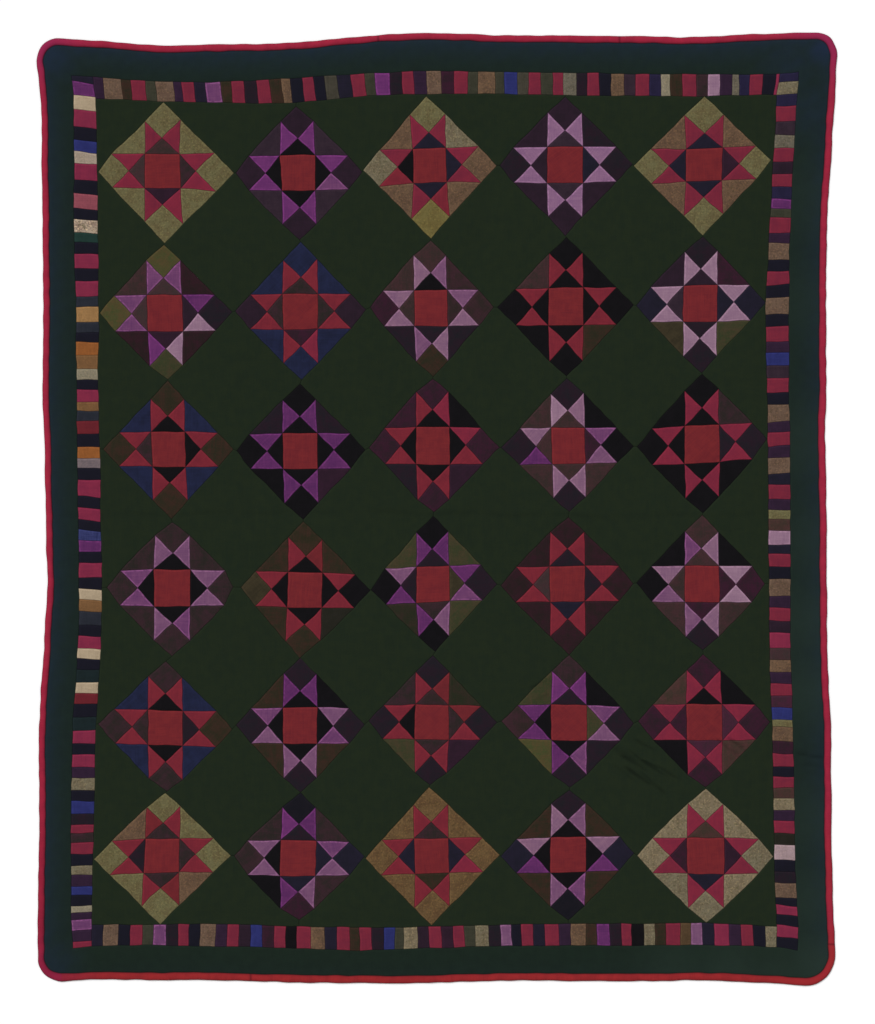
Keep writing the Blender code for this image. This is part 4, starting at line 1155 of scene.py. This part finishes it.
# The binding. It is a narrow strip of wool folded over the raw edges and felled down, crimson at the top and
# sides and brick red along the bottom. The side lengths are eased round the corners.
BINDING_SECTION = (  # its thickness from the seam over to the hem: shares of its width, and millimetres up
    (0.0, 0.0), (0.0, 2.2), (0.05, 3.0), (0.16, 3.8), (0.32, 4.4), (0.5, 4.6), (0.68, 4.5),
    (0.84, 3.9), (0.95, 2.8), (1.0, 1.6), (0.99, 0.6), (0.93, 0.0),
)
BINDING_STEP = 4.0
BINDING_CUT = 24.0  # width as cut
# The last tint is painted shade along both edges of the binding, where it rolls down to the border and over
# the hem.
BINDING_TINTS = (
    ("corner", (140, 38, 74)), ("low", (148, 41, 44)), ("dim", (60, 14, 24)), ("rolled", (58, 18, 28)),
)
CLOTHS.update({
    "crimson": Cloth((155, 38, 60), (139, 34, 55), 0.4, 0.5, 0.0, 0.0, BINDING_TINTS),
    "brickred": Cloth((148, 41, 43), (130, 36, 39), 0.4, 0.5, 0.0, 0.0, BINDING_TINTS),
})
MAGENTA_SPOTS = (Spot((41, 46), 1.0), Spot((832, 42), 1.0), Spot((44, 974), 0.45))
BRICK_SPOTS = (Spot((834, 960), 1.0), Spot((812, 984), 1.0), Spot((833, 870), 0.5))
DIM_SPOTS = (Spot((43, 925), 0.25), Spot((44, 860), 0.15), Spot((48, 970), 0.2))
BINDING_JOINS = ((379, 36), (619, 42), (834, 944), (250, 980))  # pixels where two lengths of it are joined
JOIN_REACH = 1.6
GATHER, GATHER_LENGTH = 0.22, 9.5  # height and length of the small puckers that the felling draws up
LUMP, LUMP_LENGTH = 0.3, 45
ROUND_TURN = 50


def binding_lines(side):
    """Hem and seam of one length of binding, point by point."""
    ends = []
    for sides, corner in CORNERS.items():
        if side in sides:
            place = corner.hem[1] if upright(side) else corner.hem[0]
            ends.append(place - math.copysign(corner.radius, place))
    start, end = (max(ends), min(ends)) if upright(side) else (min(ends), max(ends))
    hem, seam = hem_lines(side, evenly(start, end, BINDING_STEP))
    if upright(side):
        top_hem, top_seam = corner_lines("top", side, 24)
        low_hem, low_seam = corner_lines("bottom", side, 24)
        hem = np.concatenate([top_hem[:-1], hem, low_hem[-2::-1]])
        seam = np.concatenate([top_seam[:-1], seam, low_seam[-2::-1]])
    return hem, seam


def binding(side, cloth):
    """One length of binding, turned over the edge along its whole run, with painted shade along both edges.
    """
    hem, seam = binding_lines(side)
    run = np.concatenate([[0], np.cumsum(np.hypot(*np.diff(hem, axis=0).T))])
    rows, columns = len(hem), len(BINDING_SECTION)
    shares, heights = np.array(BINDING_SECTION).T
    flat = seam[:, None] + (hem - seam)[:, None] * shares[None, :, None]
    x, y = flat[..., 0], flat[..., 1]
    pucker = GATHER * np.sin(run * math.tau / GATHER_LENGTH)[:, None] * np.exp(-shares / 0.3)
    lumps = LUMP * waves(x, y, LUMP_LENGTH, 31)
    z = heights + np.where(heights > 0, (pucker + lumps) * heights / heights.max(), 0)
    aside, up = drift(x, y)
    places = np.stack([x + aside - quilt_centre[0], y + up - quilt_centre[1], z], axis=-1).reshape(-1, 3)
    index = np.arange(rows * columns).reshape(rows, columns)
    wrapped = np.concatenate([index, index[:, :1]], axis=1)
    faces = quads_of(wrapped)
    caps = [tuple(index[0]), tuple(index[-1][::-1])]
    a, b, c = places[faces[5 * columns + 5, :3]]
    if np.cross(b - a, c - b)[2] < 0:
        faces, caps = faces[:, ::-1], [cap[::-1] for cap in caps]
    faces = faces.tolist() + [tuple(map(int, cap)) for cap in caps]
    width = BINDING_WIDTH[side]
    across = np.tile(shares * width, rows)
    points = flat.reshape(-1, 2)
    shades = {
        "corner": spot_share(*points.T, MAGENTA_SPOTS),
        "low": spot_share(*points.T, BRICK_SPOTS),
        "dim": spot_share(*points.T, DIM_SPOTS),
        # Painted shade along both edges, where the binding rolls down.
        "rolled": 0.62 * np.exp(-across / 2.6) + 0.35 * np.exp(-(width - across) / 1.8),
        "seam": np.minimum(across, width - across) * BOUND_SHADE + 0.2,
    }
    for pixel in BINDING_JOINS:
        at = from_photo(*pixel)
        nearest = hem[np.argmin(np.hypot(*(hem - at).T))]
        if math.hypot(*(nearest - at)) > width:
            continue
        offset = np.abs((points - nearest) @ ((0, 1) if upright(side) else (1, 0)))
        near = np.hypot(*(points - nearest).T) < 3 * width
        join = np.where(near, 0.6 * np.exp(-((offset / JOIN_REACH) ** 2)), 0)
        shades["dim"] = np.maximum(shades["dim"], join)
    cut = np.stack([np.repeat(run, columns), across, np.zeros(rows * columns)], axis=1)
    piece = make_piece(f"binding_cloth_{side}", places, faces, [cloth], cut, shades, ROUND_TURN)
    lay(piece, f"binding_{side}", (BINDING_CUT, run[-1]))


binding("top", "crimson")
binding("bottom", "brickred")
binding("left", "crimson")
binding("right", "crimson")


# The stage. A pale floor that the quilt lies on, soft light from the upper left as in the photo, and a camera
# straight above.
CAMERA_LENS, CAMERA_SENSOR = 100.0, 36.0
PHOTO_SIZE = (875, 1024)
FLOOR_SIDE, FLOOR_DROP = 40.0, 0.0003
FLOOR_COLOUR, FLOOR_ROUGHNESS = (0.93, 0.93, 0.93, 1), 0.9
SKY_STRENGTH, SUN_STRENGTH = 0.6, 2.4
SUN_SPREAD, SUN_TILTS = 25, (-38, -32, 0)  # degrees
floor_mesh = bpy.data.meshes.new("floor")
half = FLOOR_SIDE / 2
floor_corners = [(-half, -half, 0), (half, -half, 0), (half, half, 0), (-half, half, 0)]
floor_mesh.from_pydata(floor_corners, [], [(0, 1, 2, 3)])
floor = bpy.data.objects.new("floor", floor_mesh)
floor.location.z = cad_low.z - FLOOR_DROP
bpy.context.scene.collection.objects.link(floor)
floor_finish = Finish("studio_floor")
floor_finish.join(floor_finish.shader.inputs["Base Color"], FLOOR_COLOUR)
floor_finish.join(floor_finish.shader.inputs["Roughness"], FLOOR_ROUGHNESS)
floor_mesh.materials.append(floor_finish.material)

world = bpy.data.worlds.new("studio")
world.use_nodes = True
world.node_tree.nodes["Background"].inputs["Color"].default_value = (1, 1, 1, 1)
world.node_tree.nodes["Background"].inputs["Strength"].default_value = SKY_STRENGTH
bpy.context.scene.world = world

sun = bpy.data.lights.new("soft_light", "SUN")
sun.energy = SUN_STRENGTH
sun.angle = math.radians(SUN_SPREAD)
lamp = bpy.data.objects.new("soft_light", sun)
lamp.rotation_euler = [math.radians(tilt) for tilt in SUN_TILTS]
bpy.context.scene.collection.objects.link(lamp)

camera_data = bpy.data.cameras.new("camera")
camera_data.lens = CAMERA_LENS
camera_data.sensor_width = CAMERA_SENSOR
camera = bpy.data.objects.new("camera", camera_data)
view_middle = from_photo(PHOTO_SIZE[0] / 2, PHOTO_SIZE[1] / 2) - quilt_centre
view_height = PHOTO_SIZE[1] * PIXEL * MM
camera.location = (view_middle[0] * MM, view_middle[1] * MM, view_height * CAMERA_LENS / CAMERA_SENSOR)
bpy.context.scene.collection.objects.link(camera)
bpy.context.scene.camera = camera
bpy.context.scene.view_settings.view_transform = "Standard"
